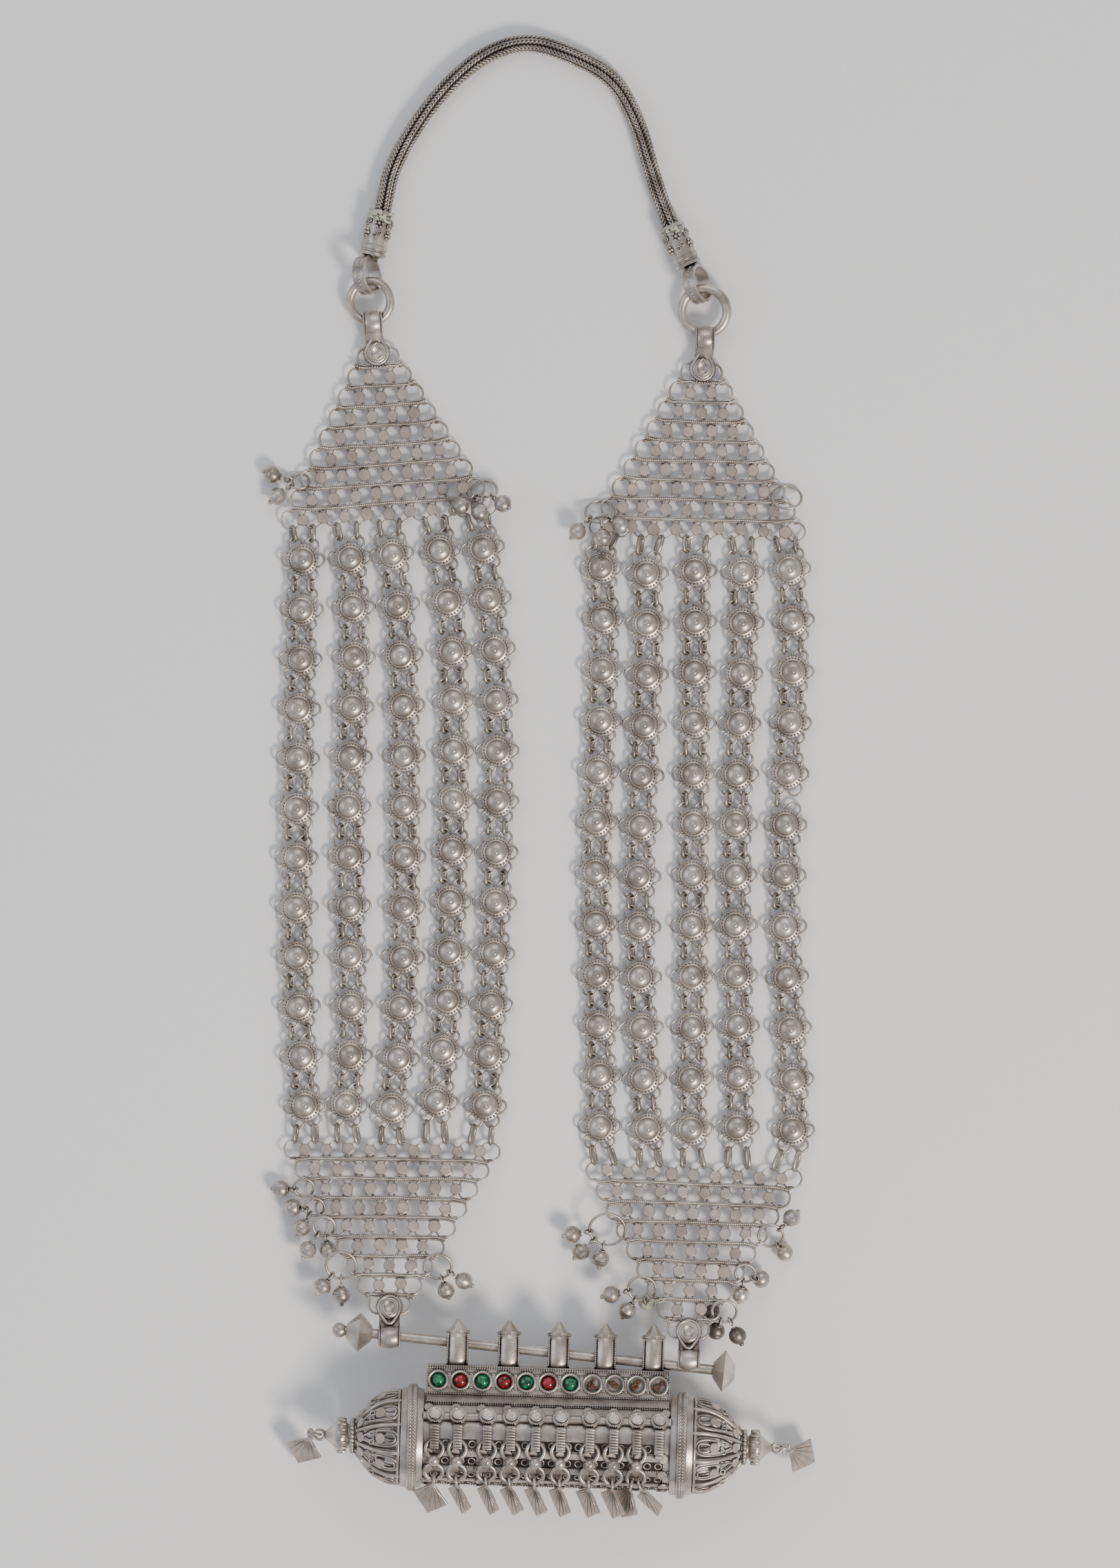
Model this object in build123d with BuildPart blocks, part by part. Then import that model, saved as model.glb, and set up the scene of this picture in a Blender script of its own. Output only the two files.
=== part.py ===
from build123d import *
from math import acos, asin, atan2, cos, degrees, hypot, radians, sin, sqrt, tan
import os

# A folk silver necklace laid out on a table and seen from above.
# +X is the right of the laid necklace, +Y points to its neck end and +Z is up.
# The table is Z = 0 and the origin is the middle of the bounding box there.
# All sizes are in millimetres.

os.makedirs("parts", exist_ok=True)

# Neck chain and its end caps
chain_radius = 3.5
cap_radius = 4.75
cap_wall = 0.9
cap_socket_depth = 6.0
cap_loop_radius = 6.9
cap_loop_wall = 0.9
cap_loop_width = 4.5
cap_loop_lift = 20

# Rings between the caps and the upper lattices
ring_side_tilt = 8
ring_end_lift = 5

# Lattices: rows of wire rings between beaded wires
row_pitch = 7.1
ring_pitch = 7.9
row_count = 9
lattice_ring_radius = 3.95
lattice_wire = 1.1
beaded_wire = 1.6
first_wire_length = 17.0
wire_growth = 7.5
disc_radius = 2.3
disc_height = 2.1

# Rosettes and the oval links that join them
rosette_rows = 12
petal_plane = 2.7
petal_radius = 2.95
petal_wire = 1.1
side_petal_reach = 4.6
end_petal_x = 2.9
end_petal_y = 5.4
rosette_radius = 5.0
dome_radius = 3.4
link_wire = 1.7
link_bend_radius = 1.85
link_gap = 0.35
link_solder = 0.2
slope_room = 0.2

# Rod that carries the amulet case
rod_radius = 1.8
rod_x = 3.0
rod_y = -208.8
rod_z = 19.1
rod_slope = -6.1
rod_left_end = -76.0
rod_right_end = 66.0
left_knob_at = -68.8
right_knob_at = 63.6

# Amulet case, in its own frame: X along the barrel, Y towards the rod, Z up
case_x = 2.25
case_y = -240.9
case_turn = -1.7
barrel_radius = 16.25
barrel_wall = 1.3
barrel_half_length = 44.6
collar_radius = 19.1
collar_width = 8.0
box_half_length = 43.6
box_front = 7.0
box_back = -6.5
box_bottom = 14.5
box_top = 26.75
stone_radius = 2.45
collet_radius = 3.5
stone_row_y = 21.4
stone_pitch = 7.95
stone_count = 7
collet_count = 11
boss_angle = 30
small_gap = 0.2
small_flat = 0.3


def save(piece, name):
    piece.part.label = name
    export_step(piece.part, f"parts/{name}.step")
    print(name, len(piece.part.solids()), round(piece.part.volume, 1))


def step_towards(start, direction, distance):
    return start + direction.normalized() * distance


# Neck chain: a tube of straight runs and tangent arcs

chain_route = (
    (-58.48, 198.43, 4.75),
    (-56.26, 208.49, 4.75),
    (-54.1, 219.0, 3.8),
    (-46.1, 234.0, 3.5),
    (-34.4, 249.3, 3.5),
    (-19.9, 261.4, 3.5),
    (-4.4, 266.0, 3.5),
    (11.4, 260.8, 3.5),
    (27.0, 252.4, 3.5),
    (35.6, 235.8, 3.5),
    (40.4, 218.0, 3.8),
    (45.2, 203.19, 4.75),
    (49.45, 193.81, 4.75),
)


def route_radii(route):
    radii = []
    points = [Vector(*point) for point in route]
    for before, corner, after in zip(points, points[1:], points[2:]):
        run = min((corner - before).length, (after - corner).length)
        turn = (corner - before).get_angle(after - corner)
        radii.append(0.45 * run / tan(radians(turn / 2)))
    return radii


chain_radii = route_radii(chain_route)
print("chain radii", [round(radius, 1) for radius in chain_radii])

with BuildPart() as neck_chain:
    with BuildLine() as chain_line:
        FilletPolyline(*chain_route, radius=chain_radii)
    with BuildSketch(Plane(origin=chain_line.line @ 0, z_dir=chain_line.line % 0)):
        Circle(chain_radius)
    sweep(path=chain_line.line)
save(neck_chain, "neck_chain")
print("chain length", round(sum(edge.length for edge in chain_line.line.edges()), 1))


# End caps: a ridged socket for the chain with a strap loop soldered on its end

ring_table = (
    # side, ring x, ring y, ring z, ring radius, wire radius, loop x, loop y
    ("left", -61.6, 171.25, 5.15, 7.4, 1.6, -62.8, 180.7),
    ("right", 59.4, 167.75, 5.3, 8.2, 1.75, 56.8, 177.5),
)

cap_table = {
    # side: mouth x, mouth y, end x, end y
    "left": (-57.25, 204.0, -60.9, 187.5),
    "right": (47.1, 199.0, 53.9, 184.0),
}


def cap_profile(length):
    # Half section of the cap from its mouth at 0 to its closed end
    outer = cap_radius
    inner = cap_radius - cap_wall
    return (
        (0, length),
        (0, cap_socket_depth),
        (inner, cap_socket_depth),
        (inner, 0),
        (outer, 0),
        (outer, 1.3),
        (outer - 0.35, 1.6),
        (outer - 0.35, length - 4.2),
        (outer, length - 4.0),
        (outer, length - 2.9),
        (outer - 0.4, length - 2.6),
        (outer - 0.4, length - 1.9),
        (outer, length - 1.6),
        (outer - 0.1, length - 0.5),
        (outer - 1.2, length),
    )


def ring_frame(x, y, z, loop_x, loop_y):
    # The ring lies with the end at the strap loop lifted and its right side lifted
    along = Vector(loop_x - x, loop_y - y, 0).normalized()
    across = Vector(along.Y, -along.X, 0)
    up = Vector(0, 0, 1)
    x_axis = across * cos(radians(ring_side_tilt)) + up * sin(radians(ring_side_tilt))
    y_axis = along * cos(radians(ring_end_lift)) + up * sin(radians(ring_end_lift))
    return Plane(origin=(x, y, z), x_dir=x_axis, z_dir=x_axis.cross(y_axis))


ring_frames = {}
for side, x, y, z, radius, wire, loop_x, loop_y in ring_table:
    frame = ring_frame(x, y, z, loop_x, loop_y)
    ring_frames[side] = (frame, radius, wire)
    with BuildPart(frame) as ring:
        Torus(radius, wire)
    save(ring, f"{side}_ring")

    mouth_x, mouth_y, end_x, end_y = cap_table[side]
    length = hypot(end_x - mouth_x, end_y - mouth_y)
    cap_direction = Vector(end_x - mouth_x, end_y - mouth_y, 0).normalized()
    mouth = Vector(mouth_x, mouth_y, cap_radius)
    end = Vector(end_x, end_y, cap_radius)
    cap_plane = Plane(origin=mouth, x_dir=(0, 0, 1), z_dir=Vector(0, 0, 1).cross(cap_direction))
    loop_axis = frame.x_dir * cos(radians(cap_loop_lift)) + Vector(0, 0, sin(radians(cap_loop_lift)))
    loop_height = cap_loop_radius * cos(radians(cap_loop_lift))
    loop_height += cap_loop_width / 2 * sin(radians(cap_loop_lift)) + 0.1
    loop_centre = Vector(loop_x, loop_y, loop_height)
    loop_plane = Plane(origin=loop_centre, z_dir=loop_axis)
    solder_plane = Plane(origin=end, z_dir=loop_centre - end)
    with BuildPart() as cap:
        with BuildSketch(cap_plane):
            Polygon(*cap_profile(length), align=None)
        revolve(axis=Axis(mouth, cap_direction))
        with BuildSketch(solder_plane.offset(-1.0)):
            Circle(2.4)
        extrude(amount=2.2)
        with BuildSketch(loop_plane.offset(-cap_loop_width / 2)):
            Circle(cap_loop_radius)
        extrude(amount=cap_loop_width)
        with BuildSketch(loop_plane.offset(-cap_loop_width / 2 - 1)):
            Circle(cap_loop_radius - cap_loop_wall)
        extrude(amount=cap_loop_width + 2, mode=Mode.SUBTRACT)
    save(cap, f"{side}_chain_cap")


# Lattices: one soldered grid, built flat with its narrow end at Y = 0

with BuildPart() as lattice_grid:
    with BuildSketch(Plane.XY.offset(-lattice_wire / 2)):
        for row in range(1, row_count + 1):
            row_y = (row - 1.5) * row_pitch
            rings = row + 1
            with Locations((0, row_y)):
                if row < row_count:
                    SlotOverall(rings * ring_pitch, 2 * lattice_ring_radius)
                else:
                    with GridLocations(ring_pitch, 1, rings, 1):
                        Circle(lattice_ring_radius)
                    with Locations((0, -lattice_ring_radius / 2)):
                        Rectangle((rings - 1) * ring_pitch, lattice_ring_radius)
        for row in range(1, row_count + 1):
            row_y = (row - 1.5) * row_pitch
            with Locations((0, row_y)):
                with GridLocations(ring_pitch, 1, row + 1, 1):
                    Circle(lattice_ring_radius - lattice_wire, mode=Mode.SUBTRACT)
    extrude(amount=lattice_wire)
    with BuildSketch(Plane.XY.offset(-disc_height / 2)):
        for row in range(2, row_count + 1):
            row_y = (row - 1.5) * row_pitch
            with Locations((0, row_y)):
                with GridLocations(ring_pitch, 1, row, 1):
                    RegularPolygon(disc_radius, 8, rotation=22.5)
    extrude(amount=disc_height)
    with BuildSketch(Plane.XY.offset(-beaded_wire / 2)):
        for wire in range(row_count - 1):
            with Locations((0, wire * row_pitch)):
                SlotOverall(first_wire_length + wire * wire_growth, beaded_wire)
    extrude(amount=beaded_wire)

loop_row_y = (row_count - 1.5) * row_pitch
loop_wire_radius = lattice_ring_radius - lattice_wire / 2
loop_reach = loop_row_y + loop_wire_radius


def teardrop(radius, reach):
    # A circle at the local origin drawn out to a point at -reach in Y
    half_angle = acos(radius / reach)
    side_x = radius * sin(half_angle)
    side_y = -radius * cos(half_angle)
    Circle(radius)
    Polygon((0, -reach), (side_x, side_y), (-side_x, side_y), align=None)


def lattice_with_bail(hole, hole_radius, strap_radius, strap_width):
    # hole is the middle of the strap's loop in the lattice's own frame
    with BuildPart() as lattice:
        add(lattice_grid.part)
        with BuildSketch(Plane.YZ.offset(hole.X - strap_width / 2)):
            with Locations((hole.Y, hole.Z)):
                Circle(strap_radius)
            Polygon(
                (hole.Y, hole.Z + strap_radius),
                (-3.0, 2.2),
                (-1.5, -0.5),
                (hole.Y, hole.Z - strap_radius),
                align=None,
            )
        extrude(amount=strap_width)
        with BuildSketch(Plane.XY.offset(-0.5)):
            with Locations((hole.X / 3, -4.8)):
                teardrop(4.7, 8.2)
        extrude(amount=3.1)
        with BuildSketch(Plane.XY.offset(2.1)):
            with Locations((hole.X / 3, -4.8)):
                teardrop(2.6, 4.6)
        extrude(amount=2, mode=Mode.SUBTRACT)
        with BuildSketch(Plane.YZ.offset(hole.X - strap_width)):
            with Locations((hole.Y, hole.Z)):
                Circle(hole_radius)
        extrude(amount=2 * strap_width, mode=Mode.SUBTRACT)
    return lattice.part


def rod_point(x):
    return Vector(x, rod_y + (x - rod_x) * tan(radians(rod_slope)), rod_z)


lattice_table = (
    # name, x, y, turn
    ("left_upper_lattice", -58.6, 147.75, 184),
    ("right_upper_lattice", 58.25, 142.0, 178.5),
    ("left_lower_lattice", -54.5, -188.1, -0.8),
    ("right_lower_lattice", 53.6, -197.0, -2.2),
)

lattice_places = {}
for name, x, y, turn in lattice_table:
    side = name.split("_")[0]
    if "upper" in name:
        place = Pos(x, y, petal_plane) * Rot(0, 0, turn)
        frame, radius, wire = ring_frames[side]
        down = (place * Pos(0, 1, 0)).position - place.position
        around = atan2(frame.y_dir.dot(down), frame.x_dir.dot(down))
        wire_middle = frame.origin + frame.x_dir * (radius * cos(around)) + frame.y_dir * (radius * sin(around))
        hole = (place.inverse() * Pos(*wire_middle)).position + Vector(0, -0.2, 0)
        lattice_part = lattice_with_bail(hole, wire + 1.4, wire + 2.6, 6.6)
    else:
        bail_x = x + sin(radians(-turn)) * -15
        rod_middle = rod_point(bail_x)
        # The lattice slopes from the rod down to the plane of the strands at its loops
        drop = hypot(rod_middle.X - x, rod_middle.Y - y)
        tilt = asin((rod_z - petal_plane) / (drop + loop_reach))
        tilt = asin((rod_z - petal_plane) / (drop / cos(tilt) + loop_reach))
        place = Pos(x, y, rod_z - drop * tan(tilt)) * Rot(0, 0, turn) * Rot(-degrees(tilt), 0, 0)
        hole = (place.inverse() * Pos(*rod_middle)).position
        lattice_part = lattice_with_bail(hole, rod_radius + 0.8, rod_radius + 2.2, 7.5)
    lattice_places[name] = place
    with BuildPart() as lattice:
        with Locations(place):
            add(lattice_part)
    save(lattice, name)


# Strands: rosettes with six wire petals, joined by pairs of standing oval links


def oval_link(straight):
    # A link of round wire round a slot in the YZ plane, drawn out along Y
    with BuildSketch(Plane.YZ) as track:
        SlotCenterToCenter(straight, 2 * link_bend_radius)
    centre_line = track.sketch.face().outer_wire()
    with BuildPart() as link:
        with BuildSketch(Plane(origin=centre_line @ 0, z_dir=centre_line % 0)):
            Circle(link_wire / 2)
        sweep(path=centre_line)
    return link.part


link_inner_end = link_bend_radius - link_wire / 2


def link_straight(wire_spacing):
    # Length between bends for a link soldered to one wire and clear of the other
    return wire_spacing + petal_wire + link_gap - link_solder - 2 * link_inner_end


def link_centre_from_soldered(wire_spacing):
    return link_straight(wire_spacing) / 2 + link_inner_end - petal_wire / 2 + link_solder


petal_wire_middle = petal_radius - petal_wire / 2
petal_centres = (
    (side_petal_reach, 0),
    (-side_petal_reach, 0),
    (end_petal_x, end_petal_y),
    (-end_petal_x, end_petal_y),
    (end_petal_x, -end_petal_y),
    (-end_petal_x, -end_petal_y),
)

with BuildPart() as plain_rosette:
    with BuildSketch(Plane.XY.offset(-petal_wire / 2)):
        with Locations(*petal_centres):
            Circle(petal_radius)
        with Locations(*petal_centres):
            Circle(petal_radius - petal_wire, mode=Mode.SUBTRACT)
    extrude(amount=petal_wire)
    with BuildSketch(Plane.XZ):
        Polygon(
            (0, 0.4),
            (rosette_radius, 0.4),
            (rosette_radius, 1.2),
            (dome_radius + 0.1, 1.2),
            (dome_radius - 0.3, 1.9),
            (dome_radius - 1.7, 3.0),
            (0.6, 3.5),
            (0, 3.7),
            align=None,
        )
    revolve(axis=Axis.Z)


def link_from_petal(petal, other, other_radius):
    # A link on the line between the middles of a petal and of the ring next to it
    line = other - petal
    wire_spacing = line.length - petal_wire_middle - other_radius
    link = oval_link(link_straight(wire_spacing))
    centre = step_towards(petal, line, petal_wire_middle + link_centre_from_soldered(wire_spacing))
    return Pos(*centre) * Rot(0, 0, degrees(atan2(-line.X, line.Y))) * link


def through_points(values, share):
    # Smooth curve through evenly spaced values, share runs from 0 to 1
    last = len(values) - 1
    total = 0
    for index, value in enumerate(values):
        weight = value
        for other in range(len(values)):
            if other != index:
                weight *= (share * last - other) / (index - other)
        total += weight
    return total


strand_table = (
    # side, number, top y, end y, x at the top, first quarter, middle, third quarter and end
    ("left", 1, 77.75, -120.0, (-86.1, -87.4, -88.4, -88.1, -85.4)),
    ("left", 2, 78.5, -119.75, (-69.1, -68.1, -69.4, -68.9, -70.2)),
    ("left", 3, 79.75, -121.0, (-53.9, -49.9, -49.4, -49.9, -53.9)),
    ("left", 4, 81.0, -118.25, (-36.3, -31.8, -31.9, -33.3, -37.6)),
    ("left", 5, 82.0, -120.0, (-20.9, -16.2, -15.8, -17.3, -20.1)),
    ("right", 1, 74.75, -127.5, (21.9, 21.9, 20.1, 20.8, 21.4)),
    ("right", 2, 72.75, -128.5, (38.4, 37.9, 35.9, 36.1, 38.6)),
    ("right", 3, 73.75, -128.5, (55.9, 55.6, 55.2, 54.9, 54.6)),
    ("right", 4, 73.25, -127.75, (73.1, 72.1, 70.6, 71.1, 71.4)),
    ("right", 5, 74.25, -129.0, (90.1, 90.6, 88.4, 89.6, 91.4)),
)
lone_link_row = 5


def strand_spots(top_y, end_y, x_values):
    spots = []
    for row in range(rosette_rows):
        share = row / (rosette_rows - 1)
        spots.append(Vector(through_points(x_values, share), top_y + (end_y - top_y) * share, petal_plane))
    return spots


def spot_turns(spots):
    # Each rosette follows the line between its neighbours
    turns = []
    for before, after in zip(spots[:1] + spots[:-1], spots[1:] + spots[-1:]):
        turns.append(degrees(atan2(after.X - before.X, before.Y - after.Y)))
    return turns


def lattice_loops(name, number):
    # The two loops that carry one strand, ordered by X: their middles, at the height of their end wires
    place = lattice_places[name]
    middles = []
    for loop in range(row_count + 1):
        loop_x = (loop - row_count / 2) * ring_pitch
        middle = (place * Pos(loop_x, loop_row_y, 0)).position
        middles.append(Vector(middle.X, middle.Y, petal_plane))
    middles.sort(key=lambda middle: middle.X)
    return middles[2 * number - 2 : 2 * number]


for side, number, top_y, end_y, x_values in strand_table:
    spots = strand_spots(top_y, end_y, x_values)
    places = [Pos(*spot) * Rot(0, 0, turn) for spot, turn in zip(spots, spot_turns(spots))]
    pieces = [place * plain_rosette.part for place in places]
    for row, place in enumerate(places, start=1):
        upper_petals = [(place * Pos(x, end_petal_y, 0)).position for x in (-end_petal_x, end_petal_x)]
        lower_petals = [(place * Pos(x, -end_petal_y, 0)).position for x in (-end_petal_x, end_petal_x)]
        if row == 1:
            for petal, loop in zip(upper_petals, lattice_loops(f"{side}_upper_lattice", number)):
                pieces.append(link_from_petal(petal, loop, loop_wire_radius - slope_room))
        if row == rosette_rows:
            for petal, loop in zip(lower_petals, lattice_loops(f"{side}_lower_lattice", number)):
                pieces.append(link_from_petal(petal, loop, loop_wire_radius - slope_room))
        else:
            lone = (side, number, row) == ("right", 5, lone_link_row)
            for petal_x, petal in zip((-end_petal_x, end_petal_x), lower_petals):
                if lone and petal_x > 0:
                    continue
                next_petal = (places[row] * Pos(petal_x, end_petal_y, 0)).position
                pieces.append(link_from_petal(petal, next_petal, petal_wire_middle))
    with BuildPart() as strand:
        add(pieces, clean=False)
    save(strand, f"{side}_strand_{number}")


# Rod with a faceted double cone at each end

rod_direction = Vector(cos(radians(rod_slope)), sin(radians(rod_slope)), 0)
rod_plane = Plane(origin=(rod_x, rod_y, rod_z), x_dir=(0, 0, 1), z_dir=rod_direction)

with BuildPart() as rod:
    with BuildSketch(rod_plane.offset(rod_left_end)):
        Circle(rod_radius)
    extrude(amount=rod_right_end - rod_left_end)
    for middle, radius, half_thickness in ((left_knob_at, 7.1, 4.6), (right_knob_at, 7.6, 4.0)):
        for end in (-1, 1):
            with BuildSketch(rod_plane.offset(middle)):
                RegularPolygon(radius, 8)
            with BuildSketch(rod_plane.offset(middle + end * half_thickness)):
                RegularPolygon(rod_radius + 0.9, 8)
            loft()
    with Locations(rod_plane.offset(rod_left_end)):
        Sphere(2.7)
save(rod, "rod")


# Amulet case: everything soldered to the barrel is one solid

case_place = Pos(case_x, case_y, rod_z) * Rot(0, 0, case_turn)
collar_middle = barrel_half_length + collar_width / 2
bail_positions = (-33.1, -14.6, 3.4, 20.25, 37.6)
boss_positions = (-40.3, -32.0, -21.4, -12.9, -3.9, 5.1, 15.6, 24.2, 32.5, 40.5)
window_columns = 9
window_angles = (4, 27, 50, 73)
bail_width = 7.7
boss_ring = barrel_radius + 1.2
strap_rise = 17.9
strap_middle = 1.6


def place_in_case(part):
    with BuildPart() as placed:
        with Locations(case_place):
            add(part)
    return placed


with BuildPart() as barrel_local:
    with BuildSketch(Plane.YZ.offset(-barrel_half_length - 0.5)):
        Circle(barrel_radius)
        Circle(barrel_radius - barrel_wall, mode=Mode.SUBTRACT)
    extrude(amount=2 * barrel_half_length + 1)
    for angle in window_angles:
        with Locations(Rot(angle, 0, 0)):
            with GridLocations(9.6, 1, window_columns, 1):
                Box(7.4, 3.6, 3 * barrel_radius, mode=Mode.SUBTRACT)
    # Collars: a rope-edged band between two flanges
    for end in (-1, 1):
        with BuildSketch(Plane.XY):
            with Locations((end * collar_middle, 0)):
                Polygon(
                    (-4.0, 15.2),
                    (-4.0, 17.7),
                    (-1.9, 18.2),
                    (-1.5, 19.1),
                    (1.5, 19.1),
                    (1.9, 18.2),
                    (4.0, 17.7),
                    (4.0, 15.2),
                    align=None,
                )
        revolve(axis=Axis.X)
    # Stone box with its lower flange
    with BuildSketch(Plane.YZ.offset(-box_half_length)):
        Polygon(
            (box_top, box_back),
            (box_top, box_front - 0.6),
            (box_top - 0.6, box_front),
            (16.3, box_front),
            (13.6, 10.2),
            (12.8, 10.0),
            (box_bottom, box_back),
            align=None,
        )
    extrude(amount=2 * box_half_length)
    # Collets, with a short bar between neighbours
    with BuildSketch(Plane.XY.offset(box_front - 0.5)):
        with Locations((0, stone_row_y)):
            with GridLocations(stone_pitch, 1, collet_count, 1):
                Circle(collet_radius)
            with GridLocations(stone_pitch, 1, collet_count - 1, 1):
                Rectangle(1.6, 4.2)
    extrude(amount=1.5)
    with BuildSketch(Plane.XY.offset(box_front - 0.4)):
        with Locations((0, stone_row_y)):
            with GridLocations(stone_pitch, 1, collet_count, 1):
                Circle(collet_radius - 0.7)
    extrude(amount=2, mode=Mode.SUBTRACT)
    # Rod bails: D-section straps bent to a slot, with a bead ring and a pyramid tip
    for bail_at in bail_positions:
        with BuildSketch(Plane.YZ.offset(bail_at - bail_width / 2)):
            with Locations((32.2, 0)):
                SlotOverall(13.8, 7.6)
                SlotOverall(11.2, 4.9, mode=Mode.SUBTRACT)
        extrude(amount=bail_width)
        with Locations(Location((bail_at, 38.6, 0), (-90, 0, 0))):
            Cylinder(4.1, 1.5)
        with BuildSketch(Plane.XZ.offset(-39.2)):
            with Locations((bail_at, 0)):
                RegularPolygon(3.7, 8, rotation=22.5)
        with BuildSketch(Plane.XZ.offset(-43.2)):
            with Locations((bail_at, 0)):
                RegularPolygon(0.5, 8, rotation=22.5)
        loft()
    # Boss rail, bosses and ribbed straps that carry the drops
    rail_y = boss_ring * sin(radians(boss_angle))
    rail_z = boss_ring * cos(radians(boss_angle))
    with BuildSketch(Plane.YZ.offset(-barrel_half_length)):
        with Locations((rail_y, rail_z)):
            Circle(1.5)
    extrude(amount=2 * barrel_half_length)
    for boss_at in boss_positions:
        with Locations(Location((boss_at, rail_y, rail_z), (-boss_angle, 0, 0))):
            Cylinder(3.1, 1.7, align=(Align.CENTER, Align.CENTER, Align.MIN))
            with Locations((0, 0, 1.7)):
                Cylinder(2.2, 0.6, align=(Align.CENTER, Align.CENTER, Align.MIN))
        with BuildSketch(Plane.YZ.offset(boss_at - 1.6)):
            with Locations((strap_middle, strap_rise)):
                SlotOverall(9.2, 3.8)
                SlotOverall(6.6, 2.1, mode=Mode.SUBTRACT)
        extrude(amount=3.2)
    with BuildSketch(Plane.YZ.offset(boss_positions[-1] - 1.2)):
        with Locations((-3.6, 17.4)):
            Circle(1.5)
    extrude(amount=2.4)

case_barrel = place_in_case(barrel_local.part)
save(case_barrel, "case_barrel")


# Domes: hollow pierced end caps, each with a bead ring, a scalloped bell and a tip

dome_table = (
    # side, length of the shell
    ("left", 17.0),
    ("right", 18.3),
)
dome_start = collar_middle + collar_width / 2 + 0.15
tip_loop_radius = 1.8
tip_loop_wire = 0.5
tip_positions = {}
for side, shell in dome_table:
    sign = -1 if side == "left" else 1
    with BuildPart() as dome_local:
        with BuildSketch(Plane.XZ):
            with BuildLine():
                ThreePointArc((0, 17.0), (0.6 * shell, 13.0), (shell, 4.6))
                Line((shell, 4.6), (shell, 0))
                Line((shell, 0), (shell - 1.6, 0))
                Line((shell - 1.6, 0), (shell - 1.6, 3.8))
                ThreePointArc((shell - 1.6, 3.8), (0.55 * shell, 12.2), (0, 15.7))
                Line((0, 15.7), (0, 17.0))
            make_face()
        revolve(axis=Axis.X)
        for angle in (0, 36, 72, 108, 144):
            with Locations(Rot(angle, 0, 0) * Pos(0.46 * shell, 0, 0)):
                Box(9.0, 3.2, 60, mode=Mode.SUBTRACT)
        with BuildSketch(Plane.XZ):
            Polygon(
                (shell - 0.8, 0),
                (shell - 0.8, 5.6),
                (shell + 0.4, 6.0),
                (shell + 1.6, 5.6),
                (shell + 2.0, 4.2),
                (shell + 2.6, 5.4),
                (shell + 4.4, 6.6),
                (shell + 5.8, 6.4),
                (shell + 8.0, 3.2),
                (shell + 10.0, 1.8),
                (shell + 10.6, 0),
                align=None,
            )
        revolve(axis=Axis.X)
        with Locations((shell + 10.4 + tip_loop_radius, 0, 0)):
            Torus(tip_loop_radius, tip_loop_wire)
    turn_about = Rot(0, 0, 180) if side == "left" else Rot(0, 0, 0)
    with BuildPart() as dome:
        with Locations(case_place * Pos(sign * dome_start, 0, 0) * turn_about):
            add(dome_local.part)
    save(dome, f"{side}_dome")
    tip_positions[side] = dome_start + shell + 10.4 + tip_loop_radius


# Glass cabochons: red and green by turns in the first seven collets

for index in range(stone_count):
    stone_x = (index - (collet_count - 1) / 2) * stone_pitch
    with BuildPart() as stone_local:
        with BuildSketch(Plane.XZ):
            with BuildLine():
                Line((0, 0), (stone_radius, 0))
                Line((stone_radius, 0), (stone_radius, 0.5))
                ThreePointArc((stone_radius, 0.5), (stone_radius * 0.78, 1.5), (small_flat, 2.1))
                Line((small_flat, 2.1), (0, 2.1))
                Line((0, 2.1), (0, 0))
            make_face()
        revolve(axis=Axis.Z)
    with BuildPart() as stone:
        with Locations(case_place * Pos(stone_x, stone_row_y, box_front - 0.3)):
            add(stone_local.part)
    save(stone, f"stone_{index + 1}")


# Kite leaf: a thin plate with radiating ribs, hung by its top corner at the origin

leaf_length = 15.0
leaf_half_width = 7.0
leaf_shoulder = 7.0
leaf_thickness = 0.9
hook_radius = 1.9
hook_wire = 0.65

with BuildPart() as leaf:
    with BuildSketch(Plane.XY.offset(-leaf_thickness / 2)):
        Polygon(
            (0, 0),
            (leaf_half_width, -leaf_shoulder),
            (0, -leaf_length),
            (-leaf_half_width, -leaf_shoulder),
            align=None,
        )
    extrude(amount=leaf_thickness)
    for rib_angle in (-32, -16, 0, 16, 32):
        rib_length = 6.6 + 4.2 * cos(radians(2.2 * rib_angle))
        with Locations(Rot(0, 0, rib_angle) * Pos(0, -2.0 - rib_length / 2, leaf_thickness / 2)):
            Box(0.7, rib_length, 0.7)


def hooked_leaf(hook, direction, tangent, width_way, turn):
    # A leaf with its hook ring. The hook hangs on a wire that runs along tangent.
    # The leaf points along direction, its width along width_way, turned about direction.
    hook_normal = (tangent - direction * tangent.dot(direction)).normalized()
    leaf_top = hook + direction * (hook_radius + 0.2)
    flat_normal = direction.cross(width_way).normalized()
    side_way = direction.cross(flat_normal)
    normal = flat_normal * cos(radians(turn)) + side_way * sin(radians(turn))
    with BuildPart() as hooked:
        with Locations(Plane(origin=hook, z_dir=hook_normal).location):
            Torus(hook_radius, hook_wire)
        with Locations(Plane(origin=leaf_top, x_dir=normal.cross(direction), z_dir=normal).location):
            add(leaf.part)
    return hooked.part


# Drops: a ring in the ribbed strap, a ball on a second ring, and a leaf

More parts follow.
